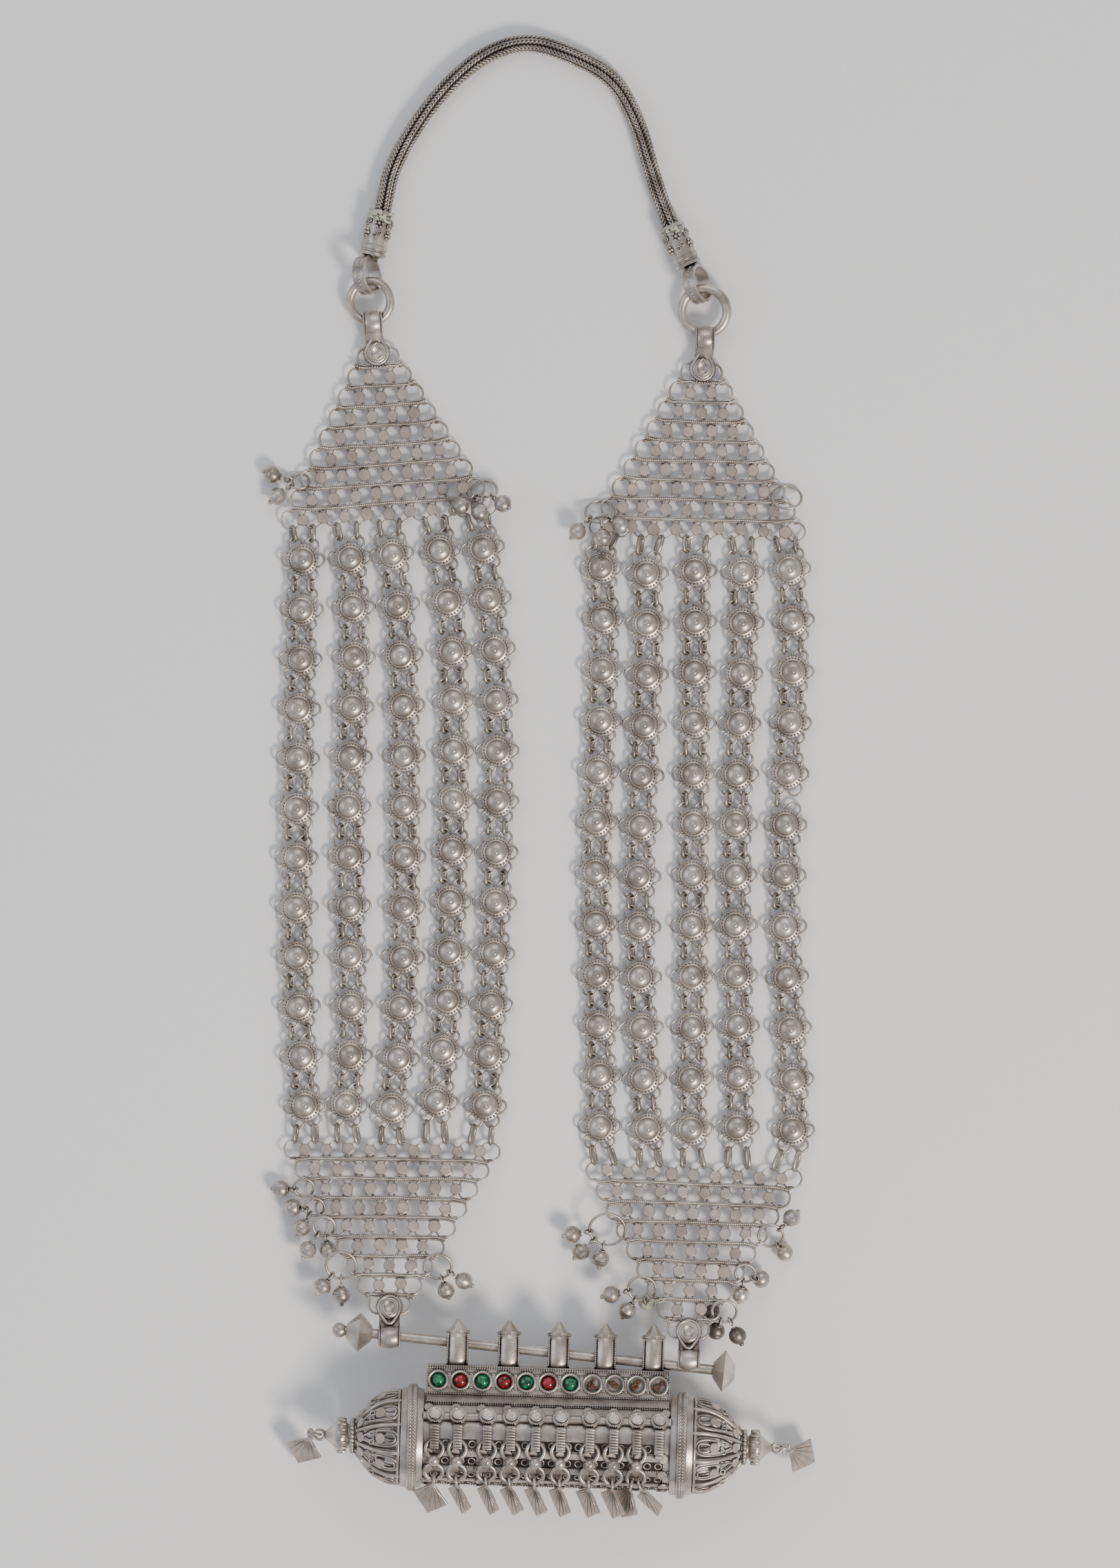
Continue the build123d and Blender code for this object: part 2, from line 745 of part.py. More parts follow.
drop_table = (
    # boss, leaves as (place on the ring, lean, turn)
    (0, ((0, -6, 22),)),
    (1, ((0, 8, 52),)),
    (2, ((0, 6, 54),)),
    (3, ((0, 6, 50),)),
    (4, ((0, 4, 52),)),
    (5, ((0, 2, 54),)),
    (6, ((0, 0, 50),)),
    (7, ((0, 2, 50),)),
    (8, ((-28, -10, 52), (28, 24, 42))),
)
drop_ring_radius = 3.2
drop_ring_wire = 0.8
ball_radius = 2.2
upper_ring_top = Vector(0, 0.1, 17.95)
upper_ring_end = Vector(0, -6.27, 17.35)
lower_ring_fall = 27
leaf_fall = 42


def flat_ring_plane(start, end):
    # The plane of a ring that lies between two points of its diameter
    along = (end - start).normalized()
    return Plane(origin=(start + end) / 2, x_dir=Vector(1, 0, 0), z_dir=Vector(1, 0, 0).cross(along) * -1)


for boss, leaves in drop_table:
    boss_x = Vector(boss_positions[boss], 0, 0)
    upper_plane = flat_ring_plane(boss_x + upper_ring_top, boss_x + upper_ring_end)
    fall = Vector(0, -cos(radians(lower_ring_fall)), -sin(radians(lower_ring_fall)))
    ball_middle = boss_x + upper_ring_end + (upper_ring_end - upper_ring_top).normalized() * 0.9
    lower_start = ball_middle + fall * 1.5
    lower_end = lower_start + fall * 2 * drop_ring_radius
    lower_plane = flat_ring_plane(lower_start, lower_end)
    with BuildPart() as upper_ring:
        with Locations(upper_plane.location):
            Torus(drop_ring_radius, drop_ring_wire)
    with BuildPart() as ball_ring:
        with Locations(ball_middle):
            Sphere(ball_radius)
        with Locations(upper_plane.location):
            Torus(drop_ring_radius, drop_ring_wire + small_gap, mode=Mode.SUBTRACT)
        with Locations(lower_plane.location):
            Torus(drop_ring_radius, drop_ring_wire)
    pieces = [upper_ring.part, ball_ring.part]
    for place_on_ring, lean, turn in leaves:
        leaf_way = Vector(
            sin(radians(lean)),
            -cos(radians(leaf_fall)) * cos(radians(lean)),
            -sin(radians(leaf_fall)) * cos(radians(lean)),
        )
        out = fall * cos(radians(place_on_ring)) + Vector(1, 0, 0) * sin(radians(place_on_ring))
        tangent = Vector(1, 0, 0) * cos(radians(place_on_ring)) - fall * sin(radians(place_on_ring))
        hook = lower_plane.origin + out * drop_ring_radius + leaf_way * 0.12
        pieces.append(hooked_leaf(hook, leaf_way, tangent, Vector(1, 0, 0), turn))
    with BuildPart() as drop:
        with Locations(case_place):
            add(pieces, clean=False)
    save(drop, f"drop_{boss + 1}")


# Finial drops: a jump ring in each tip's loop, with a leaf that leans on the table

jump_radius = 2.4
jump_wire = 0.5
jump_depth = 1.2
finial_fall = 46
finial_table = (
    # side, flat direction of the leaf
    ("left", -0.37, -0.93),
    ("right", 0.9, -0.44),
)

for side, flat_x, flat_y in finial_table:
    sign = -1 if side == "left" else 1
    jump_x = tip_positions[side] + sqrt(jump_radius**2 - jump_depth**2)
    jump_middle = Vector(sign * jump_x, 0, -jump_depth)
    hang = Vector(sign * 0.5, 0, -sqrt(0.75))
    leaf_way = Vector(flat_x * cos(radians(finial_fall)), flat_y * cos(radians(finial_fall)), -sin(radians(finial_fall)))
    hook = jump_middle + hang * jump_radius + leaf_way * 0.25
    tangent = Vector(0, 1, 0).cross(hang)
    width_way = leaf_way.cross(Vector(0, 0, 1)).normalized()
    with BuildPart() as finial_local:
        with Locations(Plane(origin=jump_middle, z_dir=(0, 1, 0)).location):
            Torus(jump_radius, jump_wire)
        add(hooked_leaf(hook, leaf_way, tangent, width_way, 0))
    with BuildPart() as finial_drop:
        with Locations(case_place):
            add(finial_local.part)
    save(finial_drop, f"{side}_finial_drop")


# Bells: small closed balls on wire rings at the ends of lattice rows

bell_radius = 3.25
bell_loop_radius = 1.55
bell_loop_wire = 0.45
bell_stem = 0.7
bell_knob = 0.9
bell_reach = 5.5
over_lattice_z = 9.0
cluster_wire = 0.6
cluster_tilt = 40
cluster_dip = 3.1

cluster_table = (
    # node, lattice, row, side, ring radius, how far the ring reaches into the loop, bells
    ("left_upper_bells_outer", "left_upper_lattice", 7, -1, 3.6, 3.0, "a"),
    ("left_upper_bells_inner", "left_upper_lattice", 8, 1, 4.6, 4.2, "b"),
    ("right_upper_bells_inner", "right_upper_lattice", 8, -1, 5.2, 4.2, "c"),
    ("right_upper_open_ring", "right_upper_lattice", 7, 1, 5.4, 3.9, ""),
    ("left_lower_bells_top", "left_lower_lattice", 7, -1, 3.6, 3.0, "d"),
    ("left_lower_bells_upper", "left_lower_lattice", 6, -1, 3.6, 3.0, "e"),
    ("left_lower_bells_middle", "left_lower_lattice", 5, -1, 4.0, 3.0, "f"),
    ("left_lower_bells_end", "left_lower_lattice", 3, -1, 5.5, 3.0, "g"),
    ("left_lower_bells_inner", "left_lower_lattice", 3, 1, 5.0, 3.0, "h"),
    ("right_lower_bells_inner", "right_lower_lattice", 6, -1, 6.5, 3.0, "i"),
    ("right_lower_bells_end", "right_lower_lattice", 3, -1, 5.0, 3.0, "j"),
    ("right_lower_bells_outer", "right_lower_lattice", 6, 1, 4.5, 3.0, "k"),
    ("right_lower_bells_side", "right_lower_lattice", 4, 1, 3.6, 3.0, "l"),
    ("right_lower_bells_tip", "right_lower_lattice", 2, 1, 4.5, 3.0, "m"),
)

bell_table = (
    # ring, x, y, lies over the lattice or links
    ("a", -97.1, 108.75, 0),
    ("a", -95.3, 100.75, 0),
    ("b", -29.1, 97.1, 1),
    ("b", -21.9, 94.75, 1),
    ("b", -13.6, 98.0, 1),
    ("c", 13.4, 88.0, 0),
    ("c", 22.6, 85.5, 1),
    ("c", 29.0, 90.0, 1),
    ("d", -94.1, -150.2, 0),
    ("e", -89.6, -156.9, 0),
    ("e", -86.3, -164.2, 0),
    ("f", -84.2, -172.1, 0),
    ("f", -77.0, -172.1, 0),
    ("g", -78.9, -185.5, 0),
    ("g", -72.0, -188.4, 0),
    ("h", -34.1, -186.75, 0),
    ("h", -27.6, -183.2, 0),
    ("i", 11.5, -166.5, 0),
    ("i", 14.6, -172.9, 0),
    ("i", 21.8, -175.6, 0),
    ("j", 25.6, -188.2, 0),
    ("j", 31.4, -194.0, 0),
    ("j", 38.6, -191.0, 0),
    ("k", 90.9, -160.5, 0),
    ("k", 88.4, -173.2, 0),
    ("l", 79.9, -182.8, 0),
    ("l", 72.5, -188.3, 0),
    ("m", 62.3, -195.0, 0),
    ("m", 63.6, -201.5, 0),
    ("m", 71.3, -203.0, 0),
)


def cluster_plane(lattice, row, side, ring_radius, inset):
    # A ring through the end loop of a row, tilted about the row's own line
    place = lattice_places[lattice]
    local_side = -side if "upper" in lattice else side
    row_y = (row - 1.5) * row_pitch
    edge_x = local_side * (row * ring_pitch / 2 + loop_wire_radius)
    edge = (place * Pos(edge_x, row_y, 0)).position
    outward = (place * Pos(edge_x + local_side, row_y, 0)).position - edge
    above = (place * Pos(edge_x, row_y, 1)).position - edge
    sideways = above.cross(outward)
    raised_end = -1 if "upper" in lattice else 1
    if sideways.Y * raised_end < 0:
        sideways = sideways * -1
    slope_way = sideways * cos(radians(cluster_tilt)) + above * sin(radians(cluster_tilt))
    chord_offset = max(0, ring_radius - cluster_dip) if "upper" in lattice else 0
    half_chord = sqrt(ring_radius**2 - chord_offset**2)
    middle = edge + outward * (half_chord - inset) + slope_way * chord_offset
    return Plane(origin=middle, x_dir=outward, z_dir=outward.cross(slope_way))


def bell_part(plane, ring_radius, x, y, over):
    # A bell whose loop is threaded on the ring at the point nearest to the bell
    middle = Vector(x, y, plane.origin.Z)
    for attempt in range(8):
        reach = middle - plane.origin
        angle = atan2(reach.dot(plane.y_dir), reach.dot(plane.x_dir))
        spot = plane.origin + plane.x_dir * (ring_radius * cos(angle)) + plane.y_dir * (ring_radius * sin(angle))
        drop = sqrt(max(0, bell_reach**2 - (x - spot.X) ** 2 - (y - spot.Y) ** 2))
        knob_depth = bell_knob - (middle - spot).normalized().Z * bell_radius
        z = max(bell_radius + 0.05, knob_depth + 0.05, spot.Z - drop)
        if over:
            z = max(z, over_lattice_z)
        middle = Vector(x, y, z)
    way = (middle - spot).normalized()
    tangent = plane.y_dir * cos(angle) - plane.x_dir * sin(angle)
    loop_normal = (tangent - way * tangent.dot(way)).normalized()
    loop_middle = spot + way * 0.25
    stem_length = (middle - loop_middle).length - bell_loop_radius + 0.1
    neck = sqrt(bell_radius**2 - bell_stem**2)
    knob_neck = sqrt(bell_radius**2 - (0.8 * bell_knob) ** 2)
    print("bell", round(x, 1), round(y, 1), round(z, 1), "reach", round((middle - spot).length, 2))
    with BuildPart() as bell:
        with BuildSketch(Plane(origin=middle, x_dir=way, z_dir=loop_normal)):
            with BuildLine():
                Line((-stem_length, 0), (-stem_length, bell_stem))
                Line((-stem_length, bell_stem), (-neck, bell_stem))
                ThreePointArc((-neck, bell_stem), (0, bell_radius), (knob_neck, 0.8 * bell_knob))
                ThreePointArc(
                    (knob_neck, 0.8 * bell_knob),
                    (bell_radius + 0.6 * bell_knob, 0.75 * bell_knob),
                    (bell_radius + bell_knob, small_flat),
                )
                Line((bell_radius + bell_knob, small_flat), (bell_radius + bell_knob, 0))
                Line((bell_radius + bell_knob, 0), (-stem_length, 0))
            make_face()
        revolve(axis=Axis(middle, way))
        with Locations(Plane(origin=loop_middle, x_dir=way * -1, z_dir=loop_normal).location):
            Torus(bell_loop_radius, bell_loop_wire)
    return bell.part


cluster_parts = {}
for node, lattice, row, side, ring_radius, inset, letter in cluster_table:
    plane = cluster_plane(lattice, row, side, ring_radius, inset)
    with BuildPart(plane) as cluster_ring_part:
        Torus(ring_radius, cluster_wire)
    parts = cluster_parts.setdefault(node, [])
    parts.append(cluster_ring_part.part)
    for ring_letter, x, y, over in bell_table:
        if letter and ring_letter == letter:
            parts.append(bell_part(plane, ring_radius, x, y, over))

for node, parts in cluster_parts.items():
    with BuildPart() as cluster:
        add(parts, clean=False)
    save(cluster, node)
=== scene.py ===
import math
import random

import bpy
import numpy as np
from mathutils import Matrix, Vector


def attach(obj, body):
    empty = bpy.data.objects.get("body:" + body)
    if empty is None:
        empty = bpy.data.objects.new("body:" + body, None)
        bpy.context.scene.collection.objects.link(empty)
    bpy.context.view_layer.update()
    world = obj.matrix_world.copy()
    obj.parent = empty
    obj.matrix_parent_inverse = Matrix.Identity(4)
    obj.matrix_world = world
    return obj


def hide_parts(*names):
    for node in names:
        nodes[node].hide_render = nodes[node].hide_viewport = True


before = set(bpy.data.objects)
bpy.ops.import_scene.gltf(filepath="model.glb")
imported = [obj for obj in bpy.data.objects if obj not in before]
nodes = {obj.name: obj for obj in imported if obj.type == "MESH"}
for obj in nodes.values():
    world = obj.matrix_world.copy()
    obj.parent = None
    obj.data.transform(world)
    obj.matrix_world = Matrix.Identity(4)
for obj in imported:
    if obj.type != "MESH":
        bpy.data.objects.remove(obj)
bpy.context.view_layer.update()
mm = 0.001
random.seed(7)

# The necklace lies flat: +X to the right, +Y to the neck, +Z up. Shapes are made in millimetres.


# Making and joining shapes

def deselectAll():
    if bpy.context.object and bpy.context.object.mode != "OBJECT":
        bpy.ops.object.mode_set(mode="OBJECT")
    bpy.ops.object.select_all(action="DESELECT")


def takeShape(smooth=True):  # the active object's mesh as arrays, so that it can be copied many times
    piece = bpy.context.object
    bpy.ops.object.transform_apply(location=True, rotation=True, scale=True)
    mesh = piece.data
    points = np.empty(len(mesh.vertices) * 3)
    corners = np.empty(len(mesh.loops), np.int32)
    starts = np.empty(len(mesh.polygons), np.int32)
    mesh.vertices.foreach_get("co", points)
    mesh.loops.foreach_get("vertex_index", corners)
    mesh.polygons.foreach_get("loop_start", starts)
    bpy.data.objects.remove(piece)
    return {"points": points.reshape(-1, 3), "corners": corners, "starts": starts, "smooth": smooth}


def joinCopies(name, groups, materials):  # groups are (shape, places, number of the material)
    points, corners, starts, smooth, numbers = [], [], [], [], []
    pointCount = cornerCount = 0
    for shape, places, number in groups:
        for place in places:
            turn = np.array(place.to_3x3())
            points.append(shape["points"] @ turn.T + np.array(place.translation))
            corners.append(shape["corners"] + pointCount)
            starts.append(shape["starts"] + cornerCount)
            smooth.append(np.full(len(shape["starts"]), shape["smooth"]))
            numbers.append(np.full(len(shape["starts"]), number, np.int32))
            pointCount += len(shape["points"])
            cornerCount += len(shape["corners"])
    mesh = bpy.data.meshes.new(name)
    mesh.vertices.add(pointCount)
    mesh.loops.add(cornerCount)
    mesh.polygons.add(sum(len(start) for start in starts))
    mesh.vertices.foreach_set("co", (np.concatenate(points) * mm).ravel())
    mesh.loops.foreach_set("vertex_index", np.concatenate(corners))
    mesh.polygons.foreach_set("loop_start", np.concatenate(starts))
    mesh.polygons.foreach_set("use_smooth", np.concatenate(smooth))
    mesh.polygons.foreach_set("material_index", np.concatenate(numbers))
    for material in materials:
        mesh.materials.append(material)
    mesh.update(calc_edges=True)
    mesh.validate()
    piece = bpy.data.objects.new(name, mesh)
    bpy.context.collection.objects.link(piece)
    return piece


def placeAt(x, y, z, turn=0.0, tilt=0.0, roll=0.0, size=1.0):
    # Turned about Z by turn, after a tilt about X and a roll about Y, in degrees
    place = Matrix.Translation((x, y, z)) @ Matrix.Rotation(math.radians(turn), 4, "Z")
    place = place @ Matrix.Rotation(math.radians(tilt), 4, "X") @ Matrix.Rotation(math.radians(roll), 4, "Y")
    return place @ Matrix.Scale(size, 4)


def placeAlong(point, direction, normal, size=(1, 1, 1)):
    # The shape's Y follows direction and its Z leans to normal
    yWay = Vector(direction).normalized()
    xWay = yWay.cross(Vector(normal)).normalized()
    zWay = xWay.cross(yWay)
    place = Matrix((xWay, yWay, zWay)).transposed().to_4x4()
    place.translation = point
    return place @ Matrix.Diagonal((*size, 1))


def wireRing(radius, wire, around=16, sides=6, flatten=1.0):
    deselectAll()
    bpy.ops.mesh.primitive_torus_add(
        major_radius=radius, minor_radius=wire, major_segments=around, minor_segments=sides
    )
    bpy.context.object.scale.z = flatten
    return takeShape()


def ovalLink(straight, bend, wire, around=16, sides=6):  # stands in the YZ plane, long along Y
    deselectAll()
    bpy.ops.mesh.primitive_torus_add(
        major_radius=bend, minor_radius=wire, major_segments=around, minor_segments=sides,
        rotation=(0, math.radians(90), 0),
    )
    bpy.ops.object.transform_apply(rotation=True)
    link = bpy.context.object
    for side in (-1, 1):
        bpy.ops.object.mode_set(mode="EDIT")
        bpy.ops.mesh.select_all(action="DESELECT")
        bpy.ops.object.mode_set(mode="OBJECT")
        for vertex in link.data.vertices:
            vertex.select = vertex.co.y * side > 0.001
        bpy.ops.object.mode_set(mode="EDIT")
        bpy.ops.transform.translate(value=(0, side * straight / 2, 0))
        bpy.ops.object.mode_set(mode="OBJECT")
    return takeShape()


def granule(radius, finer=1):
    deselectAll()
    bpy.ops.mesh.primitive_ico_sphere_add(subdivisions=finer, radius=radius)
    return takeShape()


def capsule(radius, length):  # a short run of wire with round ends, along Y
    deselectAll()
    bpy.ops.mesh.primitive_uv_sphere_add(
        segments=6, ring_count=5, radius=radius, rotation=(math.radians(90), 0, 0)
    )
    bpy.ops.object.transform_apply(rotation=True)
    bpy.context.object.scale.y = length / (2 * radius)
    return takeShape()


def plate(sides, radius, thickness, bevel):
    deselectAll()
    bpy.ops.mesh.primitive_cylinder_add(vertices=sides, radius=radius, depth=thickness)
    edge = bpy.context.object.modifiers.new("edge", "BEVEL")
    edge.width = bevel
    edge.segments = 1
    bpy.ops.object.modifier_apply(modifier="edge")
    return takeShape(smooth=False)


def spunShape(outline, steps=24):  # an outline of (radius, height) spun about Z
    deselectAll()
    mesh = bpy.data.meshes.new("outline")
    mesh.from_pydata([(radius, 0, height) for radius, height in outline],
                     [(index, index + 1) for index in range(len(outline) - 1)], [])
    piece = bpy.data.objects.new("outline", mesh)
    bpy.context.collection.objects.link(piece)
    bpy.context.view_layer.objects.active = piece
    piece.select_set(True)
    bpy.ops.object.mode_set(mode="EDIT")
    bpy.ops.mesh.select_all(action="SELECT")
    bpy.ops.mesh.spin(steps=steps, angle=2 * math.pi, center=(0, 0, 0), axis=(0, 0, 1))
    bpy.ops.mesh.select_all(action="SELECT")
    bpy.ops.mesh.remove_doubles(threshold=0.001)
    bpy.ops.mesh.normals_make_consistent(inside=False)
    bpy.ops.object.mode_set(mode="OBJECT")
    return takeShape()


def bentWire(points, radius, closed=False, smoothWire=True):  # a round wire through or near points
    deselectAll()
    curve = bpy.data.curves.new("wire", "CURVE")
    curve.dimensions = "3D"
    curve.bevel_depth = radius
    curve.bevel_resolution = 1
    curve.use_fill_caps = True
    spline = curve.splines.new("NURBS" if smoothWire else "POLY")
    spline.points.add(len(points) - 1)
    for point, place in zip(spline.points, points):
        point.co = (*place, 1)
    spline.use_cyclic_u = closed
    spline.use_endpoint_u = not closed
    spline.order_u = 3
    spline.resolution_u = 4
    piece = bpy.data.objects.new("wire", curve)
    bpy.context.collection.objects.link(piece)
    bpy.context.view_layer.objects.active = piece
    piece.select_set(True)
    bpy.ops.object.convert(target="MESH")
    return takeShape()


def strapShape(path, normals, width, crown, thickness):  # a band along path, crowned across its width
    deselectAll()
    across = 6
    points = []
    for place, normal in zip(path, normals):
        for step in range(across + 1):
            side = 2 * step / across - 1
            rise = Vector(normal) * crown * (1 - side**2)
            points.append(Vector(place) + Vector((side * width / 2, 0, 0)) + rise)
    faces = []
    for row in range(len(path) - 1):
        for step in range(across):
            corner = row * (across + 1) + step
            faces.append((corner, corner + 1, corner + across + 2, corner + across + 1))
    mesh = bpy.data.meshes.new("strap")
    mesh.from_pydata(points, [], faces)
    piece = bpy.data.objects.new("strap", mesh)
    bpy.context.collection.objects.link(piece)
    bpy.context.view_layer.objects.active = piece
    piece.select_set(True)
    wall = piece.modifiers.new("wall", "SOLIDIFY")
    wall.thickness = thickness
    wall.offset = -1
    bpy.ops.object.modifier_apply(modifier="wall")
    return takeShape()


# Materials

def linearColour(hexValue):
    channels = [int(hexValue[start : start + 2], 16) / 255 for start in (1, 3, 5)]
    return tuple(c / 12.92 if c <= 0.04045 else ((c + 0.055) / 1.055) ** 2.4 for c in channels) + (1.0,)


def addNode(material, kind, settings=None, **links):
    # Adds a node, sets its values and links its inputs. A space in a socket's name is written as __.
    node = material.node_tree.nodes.new(kind)
    for key, value in (settings or {}).items():
        if key in node.inputs and not hasattr(type(node), key):
            node.inputs[key].default_value = value
        else:
            setattr(node, key, value)
    for socket, source in links.items():
        name = socket.replace("__", " ")
        target = node.inputs[int(name[1:])] if name[1:].isdigit() else node.inputs[name]
        material.node_tree.links.new(source, target)
    return node


def setRamp(node, stops):
    ramp = node.color_ramp
    while len(ramp.elements) > 2:
        ramp.elements.remove(ramp.elements[-1])
    for element, (place, colour) in zip(ramp.elements, (stops[0], stops[-1])):
        element.position = place
        element.color = colour
    for place, colour in stops[1:-1]:
        ramp.elements.new(place).color = colour


def patternScale(millimetres):  # noise scale that gives spots about this wide
    return 1000 / millimetres


silverLook = {
    "bright": "#cdc7c0",  # worn high spots
    "middle": "#9f978e",  # warm grey tarnish
    "deep": "#2c2723",  # sulphide tarnish in the recesses, with painted shade laid there too by ambient occlusion
    "patchSize": 7.0,
    "grainSize": 0.5,
    "scratchSize": 1.6,
    "dentDepth": 0.2,
    "recess": 1.3,
}


def silverMaterial(name, bright, middle, deep, roughness=0.34, recess=silverLook["recess"], bump=0.12):
    # Old hand-wrought silver: warm grey tarnish, bright on worn tops and nearly black in the recesses, from
    # sulphide tarnish and painted shade laid on by ambient occlusion
    material = bpy.data.materials.new(name)
    material.use_nodes = True
    tree = material.node_tree
    shader = tree.nodes["Principled BSDF"]
    shader.inputs["Metallic"].default_value = 0.9
    place = addNode(material, "ShaderNodeTexCoord")
    patches = addNode(material, "ShaderNodeTexNoise",
                      {"Scale": patternScale(silverLook["patchSize"]), "Detail": 4.0},
                      Vector=place.outputs["Object"])
    grain = addNode(material, "ShaderNodeTexNoise",
                    {"Scale": patternScale(silverLook["grainSize"]), "Detail": 3.0},
                    Vector=place.outputs["Object"])
    tone = addNode(material, "ShaderNodeValToRGB", Fac=patches.outputs["Fac"])
    setRamp(tone, ((0.32, linearColour(middle)), (0.68, linearColour(bright))))
    # Painted shade: ambient occlusion darkens the recesses towards the deep colour, which also stands for the
    # sulphide tarnish there
    tarnishAndShadeMask = addNode(material, "ShaderNodeAmbientOcclusion", {"Distance": recess * mm, "samples": 6})
    depth = addNode(material, "ShaderNodeValToRGB", Fac=tarnishAndShadeMask.outputs["AO"])
    setRamp(depth, ((0.28, (0, 0, 0, 1)), (0.86, (1, 1, 1, 1))))
    colour = addNode(material, "ShaderNodeMix", {"data_type": "RGBA", "blend_type": "MIX"},
                     _0=depth.outputs["Color"])
    colour.inputs[6].default_value = linearColour(deep)
    tree.links.new(tone.outputs["Color"], colour.inputs[7])
    tree.links.new(colour.outputs[2], shader.inputs["Base Color"])
    wear = addNode(material, "ShaderNodeMapRange", {"From Min": 0.3, "From Max": 0.7,
                   "To Min": roughness - 0.08, "To Max": roughness + 0.14}, Value=grain.outputs["Fac"])
    tree.links.new(wear.outputs["Result"], shader.inputs["Roughness"])
    marks = addNode(material, "ShaderNodeTexNoise",
                    {"Scale": patternScale(silverLook["scratchSize"]), "Detail": 5.0},
                    Vector=place.outputs["Object"])
    dents = addNode(material, "ShaderNodeBump", {"Strength": bump, "Distance": silverLook["dentDepth"] * mm},
                    Height=marks.outputs["Fac"])
    tree.links.new(dents.outputs["Normal"], shader.inputs["Normal"])
    return material


silver = silverMaterial("oldSilver", silverLook["bright"], silverLook["middle"], silverLook["deep"])
chainSilver = silverMaterial("plaitedSilver", "#bdb6ad", "#8b847c", "#26221e", roughness=0.34, recess=0.9)
discSilver = silverMaterial("flatSilver", "#cbc0b7", "#a89d94", "#4f4740", roughness=0.44, bump=0.08)
polishedSilver = silverMaterial("rubbedSilver", "#d8d1c8", "#a59b91", "#352e29", roughness=0.33, bump=0.16)
darkSilver = silverMaterial("darkSilver", "#85807b", "#57534f", "#201d1b", roughness=0.36)
bellSilver = silverMaterial("wornBellSilver", "#d6d0c8", "#8d857c", "#332d28", roughness=0.3)
solder = silverMaterial("solder", "#a2968b", "#786c62", "#2e2823", roughness=0.5, bump=0.3)


def residueMaterial(name, light, dark):  # dry verdigris and old cement, chalky and rough
    material = bpy.data.materials.new(name)
    material.use_nodes = True
    shader = material.node_tree.nodes["Principled BSDF"]
    shader.inputs["Roughness"].default_value = 0.85
    place = addNode(material, "ShaderNodeTexCoord")
    crumbs = addNode(material, "ShaderNodeTexNoise", {"Scale": patternScale(0.9), "Detail": 5.0},
                     Vector=place.outputs["Object"])
    tone = addNode(material, "ShaderNodeValToRGB", Fac=crumbs.outputs["Fac"])
    setRamp(tone, ((0.35, linearColour(dark)), (0.65, linearColour(light))))
    material.node_tree.links.new(tone.outputs["Color"], shader.inputs["Base Color"])
    bumps = addNode(material, "ShaderNodeBump", {"Strength": 0.6, "Distance": 0.3 * mm},
                    Height=crumbs.outputs["Fac"])
    material.node_tree.links.new(bumps.outputs["Normal"], shader.inputs["Normal"])
    return material


verdigris = residueMaterial("verdigris", "#d9dcc6", "#97a08a")
cement = residueMaterial("stoneCement", "#7d5a48", "#3d2620")


def glassMaterial(name, light, dark):  # cabochon glass over foil: clear gloss and a deep uneven body colour
    material = bpy.data.materials.new(name)
    material.use_nodes = True
    shader = material.node_tree.nodes["Principled BSDF"]
    shader.inputs["Roughness"].default_value = 0.08
    shader.inputs["IOR"].default_value = 1.52
    shader.inputs["Coat Weight"].default_value = 0.6
    place = addNode(material, "ShaderNodeTexCoord")
    cloud = addNode(material, "ShaderNodeTexNoise", {"Scale": patternScale(1.6), "Detail": 2.0},
                    Vector=place.outputs["Object"])
    tone = addNode(material, "ShaderNodeValToRGB", Fac=cloud.outputs["Fac"])
    setRamp(tone, ((0.38, linearColour(dark)), (0.66, linearColour(light))))
    material.node_tree.links.new(tone.outputs["Color"], shader.inputs["Base Color"])
    return material


redGlass = glassMaterial("redGlass", "#a8202a", "#3c0a10")
greenGlass = glassMaterial("greenGlass", "#1f8a5c", "#06301f")


def dressNode(name, material):
    node = nodes[name]
    node.data.materials.clear()
    node.data.materials.append(material)


for nodeName in nodes:
    dressNode(nodeName, silver)
for number in range(1, 8):
    dressNode(f"stone_{number}", greenGlass if number % 2 else redGlass)
for nodeName in ("left_ring", "right_ring", "rod"):
    dressNode(nodeName, polishedSilver)


# Camera: straight above, as the photograph was taken

view = {"middleX": 7.1, "middleY": -3.5, "height": 5000, "seenHeight": 568.5}
cameraData = bpy.data.cameras.new("camera")
cameraData.sensor_fit = "VERTICAL"
cameraData.sensor_height = 24
cameraData.lens = cameraData.sensor_height * view["height"] / view["seenHeight"]
cameraData.clip_end = 20
camera = bpy.data.objects.new("camera", cameraData)
camera.location = (view["middleX"] * mm, view["middleY"] * mm, view["height"] * mm)
bpy.context.collection.objects.link(camera)
bpy.context.scene.camera = camera


# Neck chain: six foxtail chains laid side by side round a core

neckChain = {
    "route": ((-58.5, 198.4, 4.75), (-56.3, 208.5, 4.75), (-54.1, 219.0, 3.8), (-46.1, 234.0, 3.5),
              (-34.4, 249.3, 3.5), (-19.9, 261.4, 3.5), (-4.4, 266.0, 3.5), (11.4, 260.8, 3.5),
              (27.0, 252.4, 3.5), (35.6, 235.8, 3.5), (40.4, 218.0, 3.8), (45.2, 203.2, 4.75),
              (49.4, 193.8, 4.75)),
    "plaits": 6,
    "plaitRing": 2.15,
    "plaitRadius": 0.62,
    "wire": 0.47,
    "linkLength": 2.5,
    "linkPitch": 1.45,
    "coreLength": 2.4,
    "coreStretch": (3.2, 0.8, 3.2),
    "slant": 27,
    "twist": 0.55,  # degrees of turn per millimetre
}


